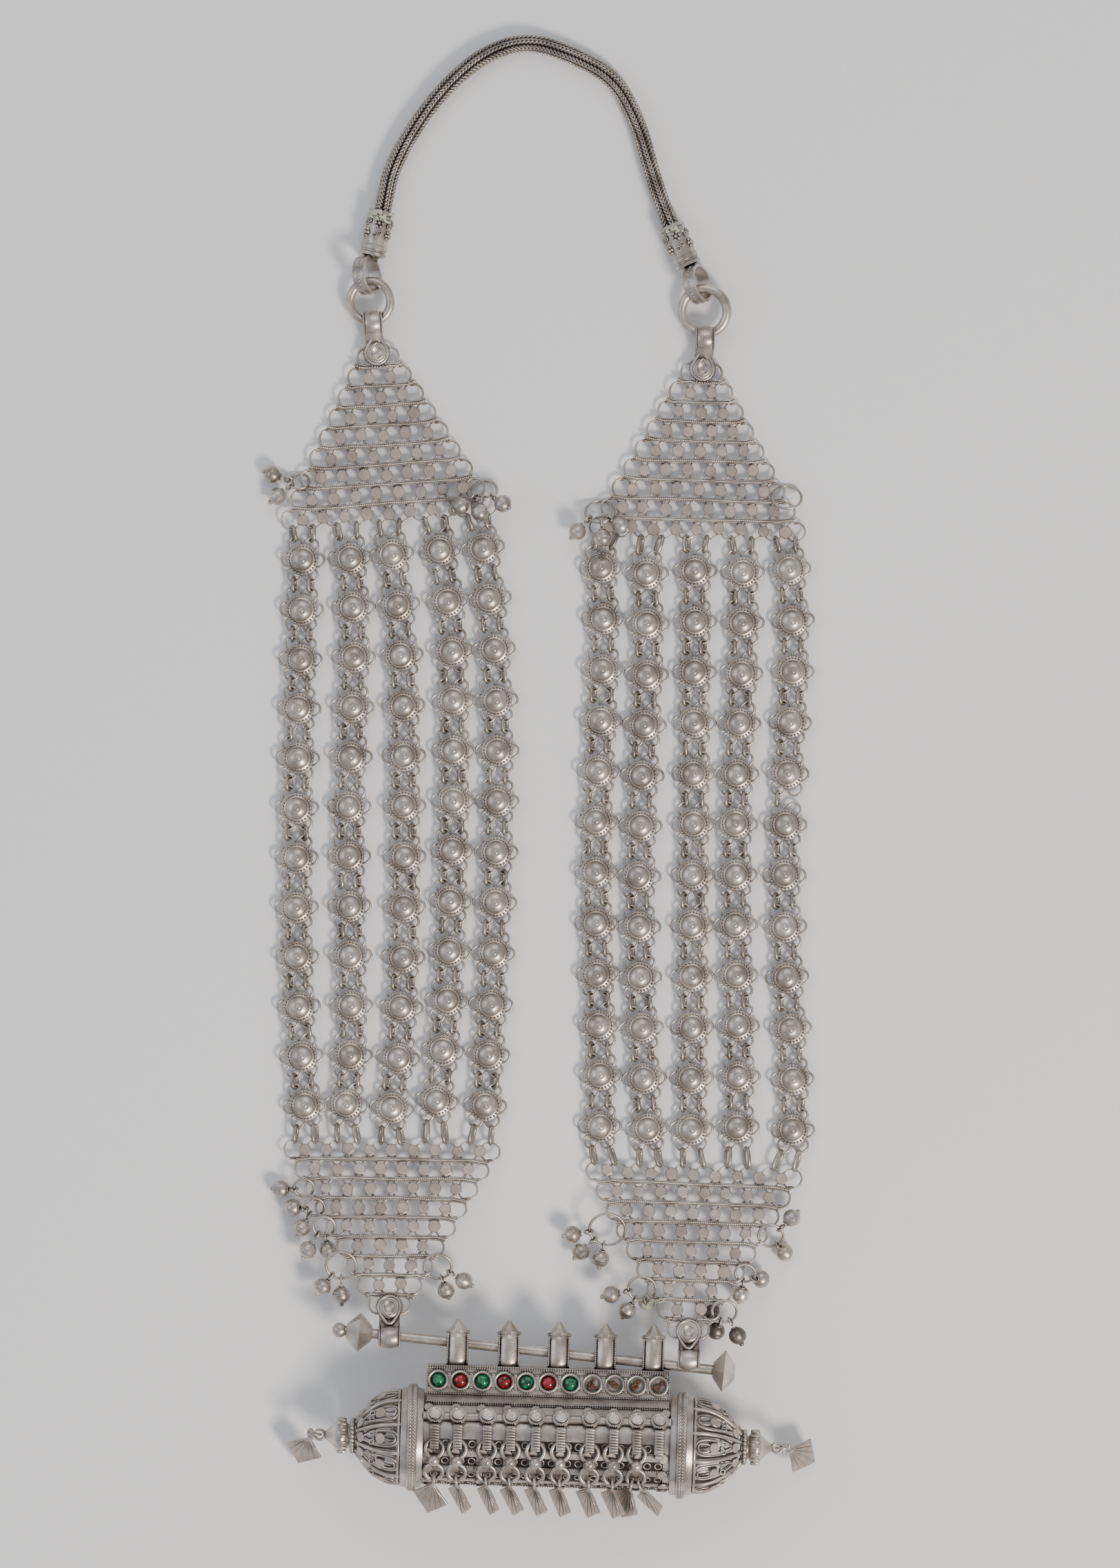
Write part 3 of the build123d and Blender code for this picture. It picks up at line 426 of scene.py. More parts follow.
def smoothRoute(points):  # even steps along the spline that follows the points
    curve = bpy.data.curves.new("route", "CURVE")
    curve.dimensions = "3D"
    spline = curve.splines.new("NURBS")
    spline.points.add(len(points) - 1)
    for point, place in zip(spline.points, points):
        point.co = (*place, 1)
    spline.use_endpoint_u = True
    spline.order_u = 3
    spline.resolution_u = 24
    holder = bpy.data.objects.new("route", curve)
    bpy.context.collection.objects.link(holder)
    mesh = bpy.data.meshes.new_from_object(holder)
    places = np.array([vertex.co for vertex in mesh.vertices])
    bpy.data.objects.remove(holder)
    return places


def evenSteps(places, pitch):
    runs = np.linalg.norm(np.diff(places, axis=0), axis=1)
    reach = np.concatenate(([0], np.cumsum(runs)))
    stations = np.arange(pitch / 2, reach[-1], pitch)
    return np.column_stack([np.interp(stations, reach, places[:, axis]) for axis in range(3)]), stations


def makeNeckChain():
    size = neckChain
    link = capsule(size["wire"], size["linkLength"])
    places, stations = evenSteps(smoothRoute(size["route"]), size["linkPitch"])
    ways = np.gradient(places, axis=0)
    spots = []
    core = []
    up = Vector((0, 0, 1))
    for index, (place, way, station) in enumerate(zip(places, ways, stations)):
        along = Vector(way).normalized()
        side = along.cross(up).normalized()
        rise = side.cross(along)
        core.append(placeAlong(Vector(place), along, rise, size["coreStretch"]))
        for plait in range(size["plaits"]):
            angle = math.radians(360 / size["plaits"] * plait + size["twist"] * station)
            out = side * math.cos(angle) + rise * math.sin(angle)
            round_ = along.cross(out)
            middle = Vector(place) + out * size["plaitRing"]
            for quarter in range(4):
                turn = math.radians(45 + 90 * quarter)
                outward = out * math.cos(turn) + round_ * math.sin(turn)
                slantWay = 1 if quarter % 2 else -1
                lean = math.radians(size["slant"]) * slantWay
                sideways = along.cross(outward)
                direction = along * math.cos(lean) + sideways * math.sin(lean)
                shift = along * (0.5 * size["linkPitch"] * (plait % 2))
                spots.append(placeAlong(middle + outward * size["plaitRadius"] + shift, direction, outward))
    coreWire = capsule(size["wire"], size["coreLength"])
    piece = joinCopies("neckChainPlait", [(link, spots, 0), (coreWire, core, 1)], [chainSilver, darkSilver])
    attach(piece, "necklace")
    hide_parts("neck_chain")


makeNeckChain()
print("neck chain made")


# End caps: ridges, pressed flowers and beaded straps on the sockets of the chain

caps = {
    "radius": 4.75,
    "panels": 6,
    "flowerReach": 1.35,
    "loopRadius": 6.75,
    "loopWidth": 4.5,
    "loopLift": 20,
    # mouth, end, ring middle, loop middle, crumbs of verdigris
    "left": ((-57.25, 204.0), (-60.9, 187.5), (-61.6, 171.25), (-62.8, 180.7), 70),
    "right": ((47.1, 199.0), (53.9, 184.0), (59.4, 167.75), (56.8, 177.5), 12),
}


def makeCapTrim(side):
    size = caps
    chance = random.Random(side + "cap")
    mouth, end, ringMiddle, loopMiddle, crumbCount = size[side]
    start = Vector((*mouth, size["radius"]))
    along = Vector((*end, size["radius"])) - start
    length = along.length
    along.normalize()
    up = Vector((0, 0, 1))
    across = along.cross(up)
    ridges, flowers, petals, scrolls, studs, beads, crumbs = [], [], [], [], [], [], []
    for station in (0.4, 1.2, 2.1, length - 4.1, length - 3.5, length - 2.8, length - 1.4):
        ridges.append(placeAlong(start + along * station, up, along))
    for panel in range(size["panels"]):
        angle = 2 * math.pi * panel / size["panels"]
        out = up * math.cos(angle) + across * math.sin(angle)
        if out.z < -0.7:
            continue  # this side lies on the table
        for station, isFlower in ((4.6, panel % 2 == 0), (8.6, panel % 2 == 1)):
            face = placeAlong(start + along * station + out * (size["radius"] - 0.3), along, out)
            if isFlower:
                flowers.append(face @ placeAt(0, 0, 0.3))
                for petal in range(6):
                    turn = math.pi * petal / 3
                    petals.append(face @ placeAt(size["flowerReach"] * math.cos(turn),
                                                 size["flowerReach"] * math.sin(turn), 0.1))
            else:
                for spin in (-1, 1):
                    scrolls.append(face @ placeAt(0.85 * spin, 0.5 * spin, 0.1))
                    studs.append(face @ placeAt(0.85 * spin, 0.5 * spin, 0.15))
    loopAlong = (Vector(loopMiddle) - Vector(ringMiddle)).normalized()
    loopAcross = Vector((loopAlong.y, -loopAlong.x, 0))
    sideTilt = math.radians(8)
    lift = math.radians(size["loopLift"])
    axis = (loopAcross * math.cos(sideTilt) + up * math.sin(sideTilt)) * math.cos(lift) + up * math.sin(lift)
    axis.normalize()
    loopHeight = 6.9 * math.cos(lift) + size["loopWidth"] / 2 * math.sin(lift) + 0.1
    middle = Vector((*loopMiddle, loopHeight))
    first = axis.orthogonal().normalized()
    second = axis.cross(first)
    for edge in (-1, 0, 1):
        count = 54 if edge else 30
        for step in range(count):
            angle = 2 * math.pi * step / count
            out = first * math.cos(angle) + second * math.sin(angle)
            alongAxis = axis * (edge * (size["loopWidth"] / 2 - 0.25))
            spot = middle + alongAxis + out * (size["loopRadius"] + 0.05)
            if spot.z > 0.5:
                beads.append(Matrix.Translation(spot) @ Matrix.Scale(1.0 if edge else 1.6, 4))
    for crumb in range(crumbCount):
        angle = chance.uniform(-1.3, 1.3)
        out = up * math.cos(angle) + across * math.sin(angle)
        spot = start + along * chance.uniform(-0.3, 3.8) + out * (size["radius"] - chance.uniform(0.1, 0.5))
        turned = placeAt(0, 0, 0, turn=chance.uniform(0, 90), tilt=chance.uniform(0, 90),
                         size=chance.uniform(0.25, 0.8))
        crumbs.append(Matrix.Translation(spot) @ turned)
    piece = joinCopies(f"{side}CapTrim", [
        (wireRing(4.42, 0.32, 30, 6), ridges, 0),
        (granule(0.7, 2), flowers, 1),
        (granule(0.62, 2), petals, 0),
        (wireRing(0.75, 0.28, 12, 5), scrolls, 0),
        (granule(0.3), studs, 1),
        (granule(0.36), beads, 0),
        (granule(1.0, 2), crumbs, 2),
    ], [silver, polishedSilver, verdigris])
    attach(piece, "necklace")


makeCapTrim("left")
makeCapTrim("right")
print("caps made")


# Lattices: wire rings in rows between twisted wires, with flat discs soldered on

lattice = {
    "rows": 9,
    "rowPitch": 7.1,
    "ringPitch": 7.9,
    "ringRadius": 3.42,
    "ringWire": 0.42,
    "loopWire": 0.36,
    "firstWire": 17.0,
    "wireGrowth": 7.5,
    "twistPitch": 0.72,
    "twistWire": 0.42,
    "discThickness": 1.1,
    "discHeight": 0.85,
    "blobReach": 3.2,
    "planeZ": 2.7,
}

rodSlope = -6.1
rodMiddle = Vector((3.0, -208.8, 19.1))
latticePlaces = {
    "left_upper_lattice": placeAt(-58.6, 147.75, lattice["planeZ"], turn=184),
    "right_upper_lattice": placeAt(58.25, 142.0, lattice["planeZ"], turn=178.5),
}


def lowerLatticePlace(x, y, turn):
    # The lattice hangs from the rod at one end and rests on the links at the other
    bailX = x + math.sin(math.radians(-turn)) * -15
    rodY = rodMiddle.y + (bailX - rodMiddle.x) * math.tan(math.radians(rodSlope))
    drop = math.hypot(bailX - x, rodY - y)
    rise = rodMiddle.z - lattice["planeZ"]
    reach = (lattice["rows"] - 1.5) * lattice["rowPitch"] + 3.4
    tilt = math.asin(rise / (drop * (1 + reach / drop)))
    length = drop / math.cos(tilt)
    tilt = math.asin(rise / (length + reach))
    return placeAt(x, y, rodMiddle.z - length * math.sin(tilt), turn=turn, tilt=-math.degrees(tilt))


latticePlaces["left_lower_lattice"] = lowerLatticePlace(-54.5, -188.1, -0.8)
latticePlaces["right_lower_lattice"] = lowerLatticePlace(53.6, -197.0, -2.2)


def teardropRing(radius, reach, height, steps=10):
    # Points round a drop: a circle at the origin drawn out to a point at -reach in Y
    halfAngle = math.acos(radius / reach)
    points = []
    for step in range(steps + 1):
        angle = -math.pi / 2 + halfAngle + (2 * math.pi - 2 * halfAngle) * step / steps
        points.append((radius * math.cos(angle), radius * math.sin(angle), height))
    points.append((0, -reach, height))
    return points


def makeLattice(nodeName, pieceName, bailX, bailY, bailZ, bailRadius, strapWidth):
    size = lattice
    place = latticePlaces[nodeName]
    chance = random.Random(nodeName)
    ring = wireRing(size["ringRadius"], size["ringWire"], 20, 6)
    loop = wireRing(size["ringRadius"], size["loopWire"], 20, 6)
    twist = capsule(size["twistWire"], 1.25)
    blob = granule(1.0, 2)
    discs = [plate(sides, radius, size["discThickness"], bevel)
             for sides, radius, bevel in ((5, 2.55, 0.35), (6, 2.45, 0.35), (8, 2.35, 0.35), (10, 2.3, 0.3))]
    rings, loops, twists, blobs, wires = [], [], [], [], []
    discPlaces = [[] for shape in discs]
    for row in range(1, size["rows"] + 1):
        rowY = (row - 1.5) * size["rowPitch"]
        for number in range(row + 1):
            ringX = (number - row / 2) * size["ringPitch"]
            bent = placeAt(ringX, rowY, chance.uniform(-0.15, 0.15), tilt=chance.uniform(-3, 3),
                           roll=chance.uniform(-3, 3))
            bent = bent @ Matrix.Diagonal((1.03, chance.uniform(1.0, 1.04), 1, 1))
            (loops if row == size["rows"] else rings).append(place @ bent)
            for end in (-1, 1):
                if row < size["rows"] or end < 0:
                    blobPlace = placeAt(ringX + chance.uniform(-0.5, 0.5), rowY + end * size["blobReach"], 0)
                    blobSize = Matrix.Diagonal((chance.uniform(1.0, 1.7), 0.55, 0.5, 1))
                    blobs.append(place @ blobPlace @ blobSize)
        if row == 1:
            continue
        for number in range(row):
            discX = (number - (row - 1) / 2) * size["ringPitch"] + chance.uniform(-0.3, 0.3)
            discY = rowY + chance.uniform(-0.5, 0.5)
            kind = chance.choice((0, 0, 1, 1, 2, 3))
            spot = placeAt(discX, discY, size["discHeight"], turn=chance.uniform(0, 60),
                           tilt=chance.uniform(-5, 5), roll=chance.uniform(-5, 5),
                           size=chance.uniform(0.92, 1.06))
            discPlaces[kind].append(place @ spot)
            blobs.append(place @ placeAt(discX, discY, 0.1) @ Matrix.Diagonal((1.5, 1.6, 0.7, 1)))
    for wire in range(size["rows"] - 1):
        length = size["firstWire"] + wire * size["wireGrowth"]
        wireY = wire * size["rowPitch"]
        wave = [chance.uniform(-0.3, 0.3) for point in range(5)]
        count = int(length / size["twistPitch"])
        outline = []
        for step in range(count + 1):
            share = step / count
            level = np.interp(share * 4, range(5), wave)
            endBend = -0.9 * max(0, abs(share - 0.5) - 0.42) / 0.08
            spot = ((share - 0.5) * length, wireY + level + endBend, 0.75)
            twists.append(place @ placeAt(*spot, turn=-62, tilt=chance.uniform(-6, 6)))
            if step % 6 == 0 or step == count:
                outline.append((spot[0], spot[1] + 0.5, 0.35))
        wires.append(bentWire(outline, 0.42))
        wires.append(bentWire([(x, y - 1.0, z) for x, y, z in outline], 0.38))
    # The bail: a crowned strap round the ring or rod, ending in a drop-shaped setting
    dropPlace = placeAt(bailX / 3, -4.9, 2.2)
    dropPlate = bentWire(teardropRing(4.1, 7.6, 0), 0.62, closed=True)
    dropRim = bentWire(teardropRing(2.3, 4.3, 0), 0.45, closed=True)
    dropFill = spunShape([(0, -1.7), (4.3, -1.7), (4.3, 0.1), (2.4, 0.75), (1.9, 0.2), (0, 0.05)], 20)
    beads = []
    drop = teardropRing(4.9, 8.7, 0, 22)
    for x, y, z in drop:
        beads.append(place @ dropPlace @ placeAt(x, y, z - 0.3))
    for step in range(16):
        angle = math.radians(20 + 140 * step / 15)
        for side in (-1, 1):
            edge = Vector((bailX + side * (strapWidth / 2 - 0.1), bailY, bailZ))
            edge += Vector((0, -math.cos(angle), math.sin(angle))) * (bailRadius + 0.1)
            beads.append(place @ Matrix.Translation(edge))
    strapPath, strapNormals = [], []
    for step in range(13):
        angle = math.radians(-60 + 225 * step / 12)
        normal = Vector((0, -math.cos(angle), math.sin(angle)))
        strapNormals.append(normal)
        strapPath.append(Vector((bailX, bailY, bailZ)) + normal * bailRadius)
    strapPath.append(Vector((bailX / 2, -7.0, 1.6)))
    strapNormals.append(Vector((0, 0.2, 1)).normalized())
    strap = strapShape(strapPath, strapNormals, strapWidth, 0.8, 1.1)
    groups = [
        (ring, rings, 0),
        (loop, loops, 0),
        (twist, twists, 3),
        (blob, blobs, 2),
        (strap, [place], 3),
        (dropPlate, [place @ dropPlace], 0),
        (dropRim, [place @ dropPlace @ placeAt(0, 0, 0.5)], 3),
        (dropFill, [place @ dropPlace], 0),
        (granule(0.42), beads, 0),
    ]
    groups += [(shape, spots, 1) for shape, spots in zip(discs, discPlaces) if spots]
    groups += [(wire, [place], 0) for wire in wires]
    piece = joinCopies(pieceName, groups, [silver, discSilver, solder, polishedSilver])
    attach(piece, "necklace")
    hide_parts(nodeName)


makeLattice("left_upper_lattice", "leftUpperLattice", 1.0, -16.0, 1.9, 3.7, 6.6)
makeLattice("right_upper_lattice", "rightUpperLattice", -1.0, -16.0, 2.0, 3.8, 6.6)
makeLattice("left_lower_lattice", "leftLowerLattice", 0.2, -15.5, 0.0, 3.4, 7.5)
makeLattice("right_lower_lattice", "rightLowerLattice", 0.5, -15.0, 0.0, 3.4, 7.5)
print("lattices made")


# Strands: granulated rosettes with six wire petals, joined by standing oval links

rosette = {
    "rows": 12,
    "planeZ": lattice["planeZ"],
    "petalRadius": 2.5,
    "petalWire": 0.46,
    "sideReach": 5.25,
    "endX": 3.0,
    "endY": 5.4,
    "discScale": 1.16,
    "granules": 26,
    "granuleRadius": 0.46,
    "granuleReach": 5.15,
    "granuleZ": 1.25,
    "linkWire": 0.66,
    "linkBend": 1.85,
    "linkLean": 24,
}

strandTable = (
    # side, number, top y, end y, x at the top, first quarter, middle, third quarter and end
    ("left", 1, 77.75, -120.0, (-86.1, -87.4, -88.4, -88.1, -85.4)),
    ("left", 2, 78.5, -119.75, (-69.1, -68.1, -69.4, -68.9, -70.2)),
    ("left", 3, 79.75, -121.0, (-53.9, -49.9, -49.4, -49.9, -53.9)),
    ("left", 4, 81.0, -118.25, (-36.3, -31.8, -31.9, -33.3, -37.6)),
    ("left", 5, 82.0, -120.0, (-20.9, -16.2, -15.8, -17.3, -20.1)),
    ("right", 1, 74.75, -127.5, (21.9, 21.9, 20.1, 20.8, 21.4)),
    ("right", 2, 72.75, -128.5, (38.4, 37.9, 35.9, 36.1, 38.6)),
    ("right", 3, 73.75, -128.5, (55.9, 55.6, 55.2, 54.9, 54.6)),
    ("right", 4, 73.25, -127.75, (73.1, 72.1, 70.6, 71.1, 71.4)),
    ("right", 5, 74.25, -129.0, (90.1, 90.6, 88.4, 89.6, 91.4)),
)
loneLinkRow = 5


def throughPoints(values, share):  # smooth curve through evenly spaced values
    last = len(values) - 1
    total = 0
    for index, value in enumerate(values):
        weight = value
        for other in range(len(values)):
            if other != index:
                weight *= (share * last - other) / (index - other)
        total += weight
    return total


def strandPlaces(topY, endY, xValues):
    spots = []
    for row in range(rosette["rows"]):
        share = row / (rosette["rows"] - 1)
        y = topY + (endY - topY) * share
        spots.append(Vector((throughPoints(xValues, share), y, rosette["planeZ"])))
    places = []
    for before, here, after in zip(spots[:1] + spots[:-1], spots, spots[1:] + spots[-1:]):
        turn = math.degrees(math.atan2(after.x - before.x, before.y - after.y))
        places.append(placeAt(*here, turn=turn))
    return places


def latticeLoops(nodeName, number):  # the middles of the two loops that carry one strand
    middles = []
    loopY = (lattice["rows"] - 1.5) * lattice["rowPitch"]
    for loop in range(lattice["rows"] + 1):
        loopX = (loop - lattice["rows"] / 2) * lattice["ringPitch"]
        middles.append(latticePlaces[nodeName] @ Vector((loopX, loopY, 0)))
    middles.sort(key=lambda middle: middle.x)
    return middles[2 * number - 2 : 2 * number]


rosetteOutline = [
    (0, 0.3), (4.6, 0.3), (4.95, 0.5), (4.95, 0.95), (4.7, 1.1), (3.95, 1.05), (3.8, 1.3), (3.55, 1.3),
    (3.35, 1.6), (3.05, 2.15), (2.45, 2.7), (1.65, 3.15), (0.95, 3.4), (0.8, 3.3), (0.6, 3.5), (0.3, 3.6),
    (0, 3.65),
]
rosetteDisc = spunShape(rosetteOutline, 24)
rosettePetal = wireRing(rosette["petalRadius"], rosette["petalWire"], 18, 6)
rosetteGranule = granule(rosette["granuleRadius"])
rosetteTip = wireRing(0.48, 0.17, 8, 5)
strandLink = ovalLink(1.55, rosette["linkBend"], rosette["linkWire"], 14, 6)


def makeStrand(side, number, topY, endY, xValues):
    chance = random.Random(f"{side}{number}")
    size = rosette
    places = strandPlaces(topY, endY, xValues)
    petals, discs, granules, tips, links = [], [], [], [], []

    def addLink(start, end, startRadius, endRadius):
        line = end - start
        middle = start + line.normalized() * ((startRadius + line.length - endRadius) / 2)
        lean = size["linkLean"] * chance.uniform(0.3, 1.3) * (1 if chance.random() < 0.8 else -1)
        turned = placeAlong(middle, line, (0, 0, 1)) @ Matrix.Rotation(math.radians(lean), 4, "Y")
        stretch = (line.length - startRadius - endRadius + 0.9) / 3.4
        links.append(turned @ Matrix.Diagonal((1, 0.72 + 0.28 * stretch, 1, 1)))

    sideX, endX, petalY = size["sideReach"], size["endX"], size["endY"]
    petalSpots = ((sideX, 0), (-sideX, 0), (endX, petalY), (-endX, petalY), (endX, -petalY), (-endX, -petalY))
    for row, place in enumerate(places, start=1):
        for x, y in petalSpots:
            petals.append(place @ placeAt(x, y, chance.uniform(-0.1, 0.1), turn=chance.uniform(0, 60),
                                          tilt=chance.uniform(-4, 4), roll=chance.uniform(-4, 4)))
        headX, headY = chance.uniform(-0.25, 0.25), chance.uniform(-0.25, 0.25)
        head = place @ placeAt(headX, headY, chance.uniform(-0.1, 0.15), turn=chance.uniform(0, 360),
                               tilt=chance.uniform(-3, 3), roll=chance.uniform(-3, 3))
        discs.append(head @ Matrix.Diagonal((size["discScale"], size["discScale"], 1, 1)))
        tips.append(head @ placeAt(0, 0, 3.5))
        for step in range(size["granules"]):
            angle = 2 * math.pi * step / size["granules"]
            reach = size["granuleReach"] + chance.uniform(-0.08, 0.08)
            spot = placeAt(reach * math.cos(angle), reach * math.sin(angle), size["granuleZ"], turn=37 * step)
            granules.append(head @ spot)
        upper = [place @ Vector((x, petalY, 0)) for x in (-endX, endX)]
        lower = [place @ Vector((x, -petalY, 0)) for x in (-endX, endX)]
        if row == 1:
            for petal, loop in zip(upper, latticeLoops(f"{side}_upper_lattice", number)):
                addLink(petal, loop, size["petalRadius"], lattice["ringRadius"])
        if row == size["rows"]:
            for petal, loop in zip(lower, latticeLoops(f"{side}_lower_lattice", number)):
                addLink(petal, loop, size["petalRadius"], lattice["ringRadius"])
        else:
            for petalX, petal in zip((-endX, endX), lower):
                if (side, number, row) == ("right", 5, loneLinkRow) and petalX > 0:
                    continue  # one link is missing here
                nextPetal = places[row] @ Vector((petalX, petalY, 0))
                addLink(petal, nextPetal, size["petalRadius"], size["petalRadius"])
    piece = joinCopies(f"{side}Strand{number}", [
        (rosettePetal, petals, 0), (rosetteDisc, discs, 1), (rosetteGranule, granules, 2),
        (rosetteTip, tips, 0), (strandLink, links, 3),
    ], [silver, polishedSilver, discSilver, chainSilver])
    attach(piece, "necklace")
    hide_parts(f"{side}_strand_{number}")


for strandRow in strandTable:
    makeStrand(*strandRow)
print("strands made")


# Amulet case: trim soldered on the barrel, in the case's own frame

case = {
    "place": placeAt(2.25, -240.9, 19.1, turn=-1.7),
    "barrelRadius": 16.25,
    "halfLength": 44.6,
    "collarMiddle": 48.6,
    "collarRadius": 19.1,
    "ropeBeads": 92,
    "beadPitch": 0.85,
    "boxHalf": 43.6,
    "collets": 11,
    "stonePitch": 7.95,
    "stoneY": 21.4,
    "rimBeadReach": 3.85,
    "stonesKept": 7,
    "bails": (-33.1, -14.6, 3.4, 20.25, 37.6),
    "bosses": (-40.3, -32.0, -21.4, -12.9, -3.9, 5.1, 15.6, 24.2, 32.5, 40.5),
    "bossAngle": 30,
    "windowAngles": (4, 27, 50, 73),
}


def onBarrel(x, angle, lift=0.0):  # a place on the barrel's wall, angle in degrees from the top to the front
    turn = math.radians(angle)
    out = Vector((0, -math.sin(turn), math.cos(turn)))
    return Vector((x, 0, 0)) + out * (case["barrelRadius"] + lift), out


def makeCollarRopes():
    bead = capsule(0.55, 1.9)
    spots = []
    for end in (-1, 1):
        for strand in (-1, 1):
            for step in range(case["ropeBeads"]):
                angle = 2 * math.pi * step / case["ropeBeads"]
                out = Vector((0, math.cos(angle), math.sin(angle)))
                round_ = Vector((0, -math.sin(angle), math.cos(angle)))
                middle = Vector((end * case["collarMiddle"] + strand * 0.62, 0, 0))
                middle += out * (case["collarRadius"] - 0.2)
                direction = round_ * 0.75 + Vector((strand * 0.66, 0, 0))
                spots.append(case["place"] @ placeAlong(middle, direction, out))
    piece = joinCopies("collarRopes", [(bead, spots, 0)], [silver])
    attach(piece, "case")


def makeBoxTrim():
    bead = granule(0.42)
    rib = capsule(0.42, 4.4)
    rimBead = granule(0.36)
    rim = wireRing(3.35, 0.4, 24, 6)
    beads, ribs, rimBeads, rims, lumps = [], [], [], [], []
    place = case["place"]
    for y, z in ((26.45, 6.75), (25.75, 7.2), (16.6, 7.1), (13.7, 10.25), (13.0, 10.15)):
        count = int(2 * case["boxHalf"] / case["beadPitch"])
        for step in range(count + 1):
            beads.append(place @ placeAt(case["boxHalf"] * (2 * step / count - 1), y, z))
    for end in (-1, 1):
        for step in range(12):
            beads.append(place @ placeAt(end * case["boxHalf"], 17 + 0.8 * step, 7.0))
    for index in range(case["collets"]):
        x = (index - (case["collets"] - 1) / 2) * case["stonePitch"]
        rims.append(place @ placeAt(x, case["stoneY"], 8.05))
        for step in range(26):
            angle = 2 * math.pi * step / 26
            outX = case["rimBeadReach"] * math.cos(angle)
            outY = case["rimBeadReach"] * math.sin(angle)
            rimBeads.append(place @ placeAt(x + outX, case["stoneY"] + outY, 7.3))
        if index < case["collets"] - 1:
            for step in range(5):
                spot = placeAt(x + case["stonePitch"] / 2, case["stoneY"] - 2.4 + 1.2 * step, 7.6, turn=90)
                ribs.append(place @ spot @ Matrix.Diagonal((1, 0.42, 1, 1)))
        if index >= case["stonesKept"]:
            for crumb in range(9):
                crumbX = x + random.uniform(-1.5, 1.5)
                crumbY = case["stoneY"] + random.uniform(-1.5, 1.5)
                spot = placeAt(crumbX, crumbY, 7.1, turn=random.uniform(0, 90), size=random.uniform(0.5, 1.1))
                lumps.append(place @ spot)
    piece = joinCopies("stoneBoxTrim", [
        (bead, beads, 0),
        (rimBead, rimBeads, 1),
        (rim, rims, 1),
        (rib, ribs, 0),
        (granule(0.8, 2), lumps, 2),
    ], [silver, polishedSilver, cement])
    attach(piece, "case")


def makeBarrelTrim():
    disc = plate(8, 1.9, 0.7, 0.15)
    bead = granule(0.4)
    scroll = wireRing(1.25, 0.3, 12, 5)
    discs, beads, scrolls = [], [], []
    place = case["place"]
    chance = random.Random("barrel")
    for angle in (-44, 15.5, 38.5, 61.5, 84):
        for step in range(10):
            point, out = onBarrel((step - 4.5) * 9.4 + chance.uniform(-0.6, 0.6), angle, 0.45)
            turned = placeAt(0, 0, 0, turn=chance.uniform(0, 60))
            discs.append(place @ placeAlong(point, (1, 0, 0), out) @ turned)
    for angle in (12, 34, 58, 80, 100, -37):
        count = int(2 * case["halfLength"] / case["beadPitch"])
        for step in range(count + 1):
            point, out = onBarrel(case["halfLength"] * (2 * step / count - 1), angle, 0.2)
            beads.append(place @ placeAlong(point, (1, 0, 0), out))
    for angle in case["windowAngles"]:
        for column in range(9):
            for side in (-1, 1):
                point, out = onBarrel((column - 4) * 9.6 + side * 2.0, angle, -0.3)
                scrolls.append(place @ placeAlong(point, (1, 0, 0), out))
    groups = [(disc, discs, 1), (bead, beads, 0), (scroll, scrolls, 0)]
    piece = joinCopies("barrelTrim", groups, [silver, discSilver])
    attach(piece, "case")


def makeBossTrim():
    bead = granule(0.36)
    rim = wireRing(2.1, 0.32, 18, 6)
    rib = capsule(0.42, 3.7)
    beads, rims, ribs = [], [], []
    place = case["place"]
    out = Vector((0, math.sin(math.radians(case["bossAngle"])), math.cos(math.radians(case["bossAngle"]))))
    for boss in case["bosses"]:
        base = Vector((boss, 0, 0)) + out * (case["barrelRadius"] + 1.2)
        face = placeAlong(base, (0, out.z, -out.y), out)
        rims.append(place @ face @ placeAt(0, 0, 2.35))
        for step in range(26):
            angle = 2 * math.pi * step / 26
            beads.append(place @ face @ placeAt(3.15 * math.cos(angle), 3.15 * math.sin(angle), 1.6))
        for step in range(9):
            share = step / 8
            y = 5.4 - 8.0 * share
            edge = max(0, abs(y - 1.6) - 2.7) / 1.9
            z = 17.9 + 1.95 * math.sqrt(max(0, 1 - edge**2))
            ribs.append(place @ placeAt(boss, y, z, turn=90))
    groups = [(bead, beads, 0), (rim, rims, 1), (rib, ribs, 1)]
    piece = joinCopies("bossTrim", groups, [silver, polishedSilver])
    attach(piece, "case")


def makeRodBailTrim():
    bead = granule(0.42)
    place = case["place"]
    beads = []
    path, normals = [], []
    for step in range(15):
        angle = math.radians(-15 + 210 * step / 14)
        outer = Vector((0, math.cos(angle) * -1, math.sin(angle)))
        middleY = 32.2 + (3.1 if outer.y > 0 else -3.1)
        normals.append(outer)
        path.append(Vector((0, middleY, 0)) + outer * 3.8)
    strap = strapShape(path, normals, 6.9, 1.3, 0.9)
    straps = []
    for bail in case["bails"]:
        straps.append(place @ placeAt(bail, 0, 0))
        for side in (-1, 1):
            for step in range(16):
                beads.append(place @ placeAt(bail + side * 3.55, 27.6 + 0.68 * step, 3.95))
        for step in range(22):
            angle = 2 * math.pi * step / 22
            beads.append(place @ placeAt(bail + 4.1 * math.cos(angle), 38.6, 4.1 * math.sin(angle)))
    piece = joinCopies("rodBailTrim", [(bead, beads, 0), (strap, straps, 1)], [silver, polishedSilver])
    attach(piece, "case")


makeCollarRopes()
makeBoxTrim()
makeBarrelTrim()
makeBossTrim()
makeRodBailTrim()
print("case trim made")


# Domes: open wirework between ribs, a bead ring, a fluted bell and a looped tip

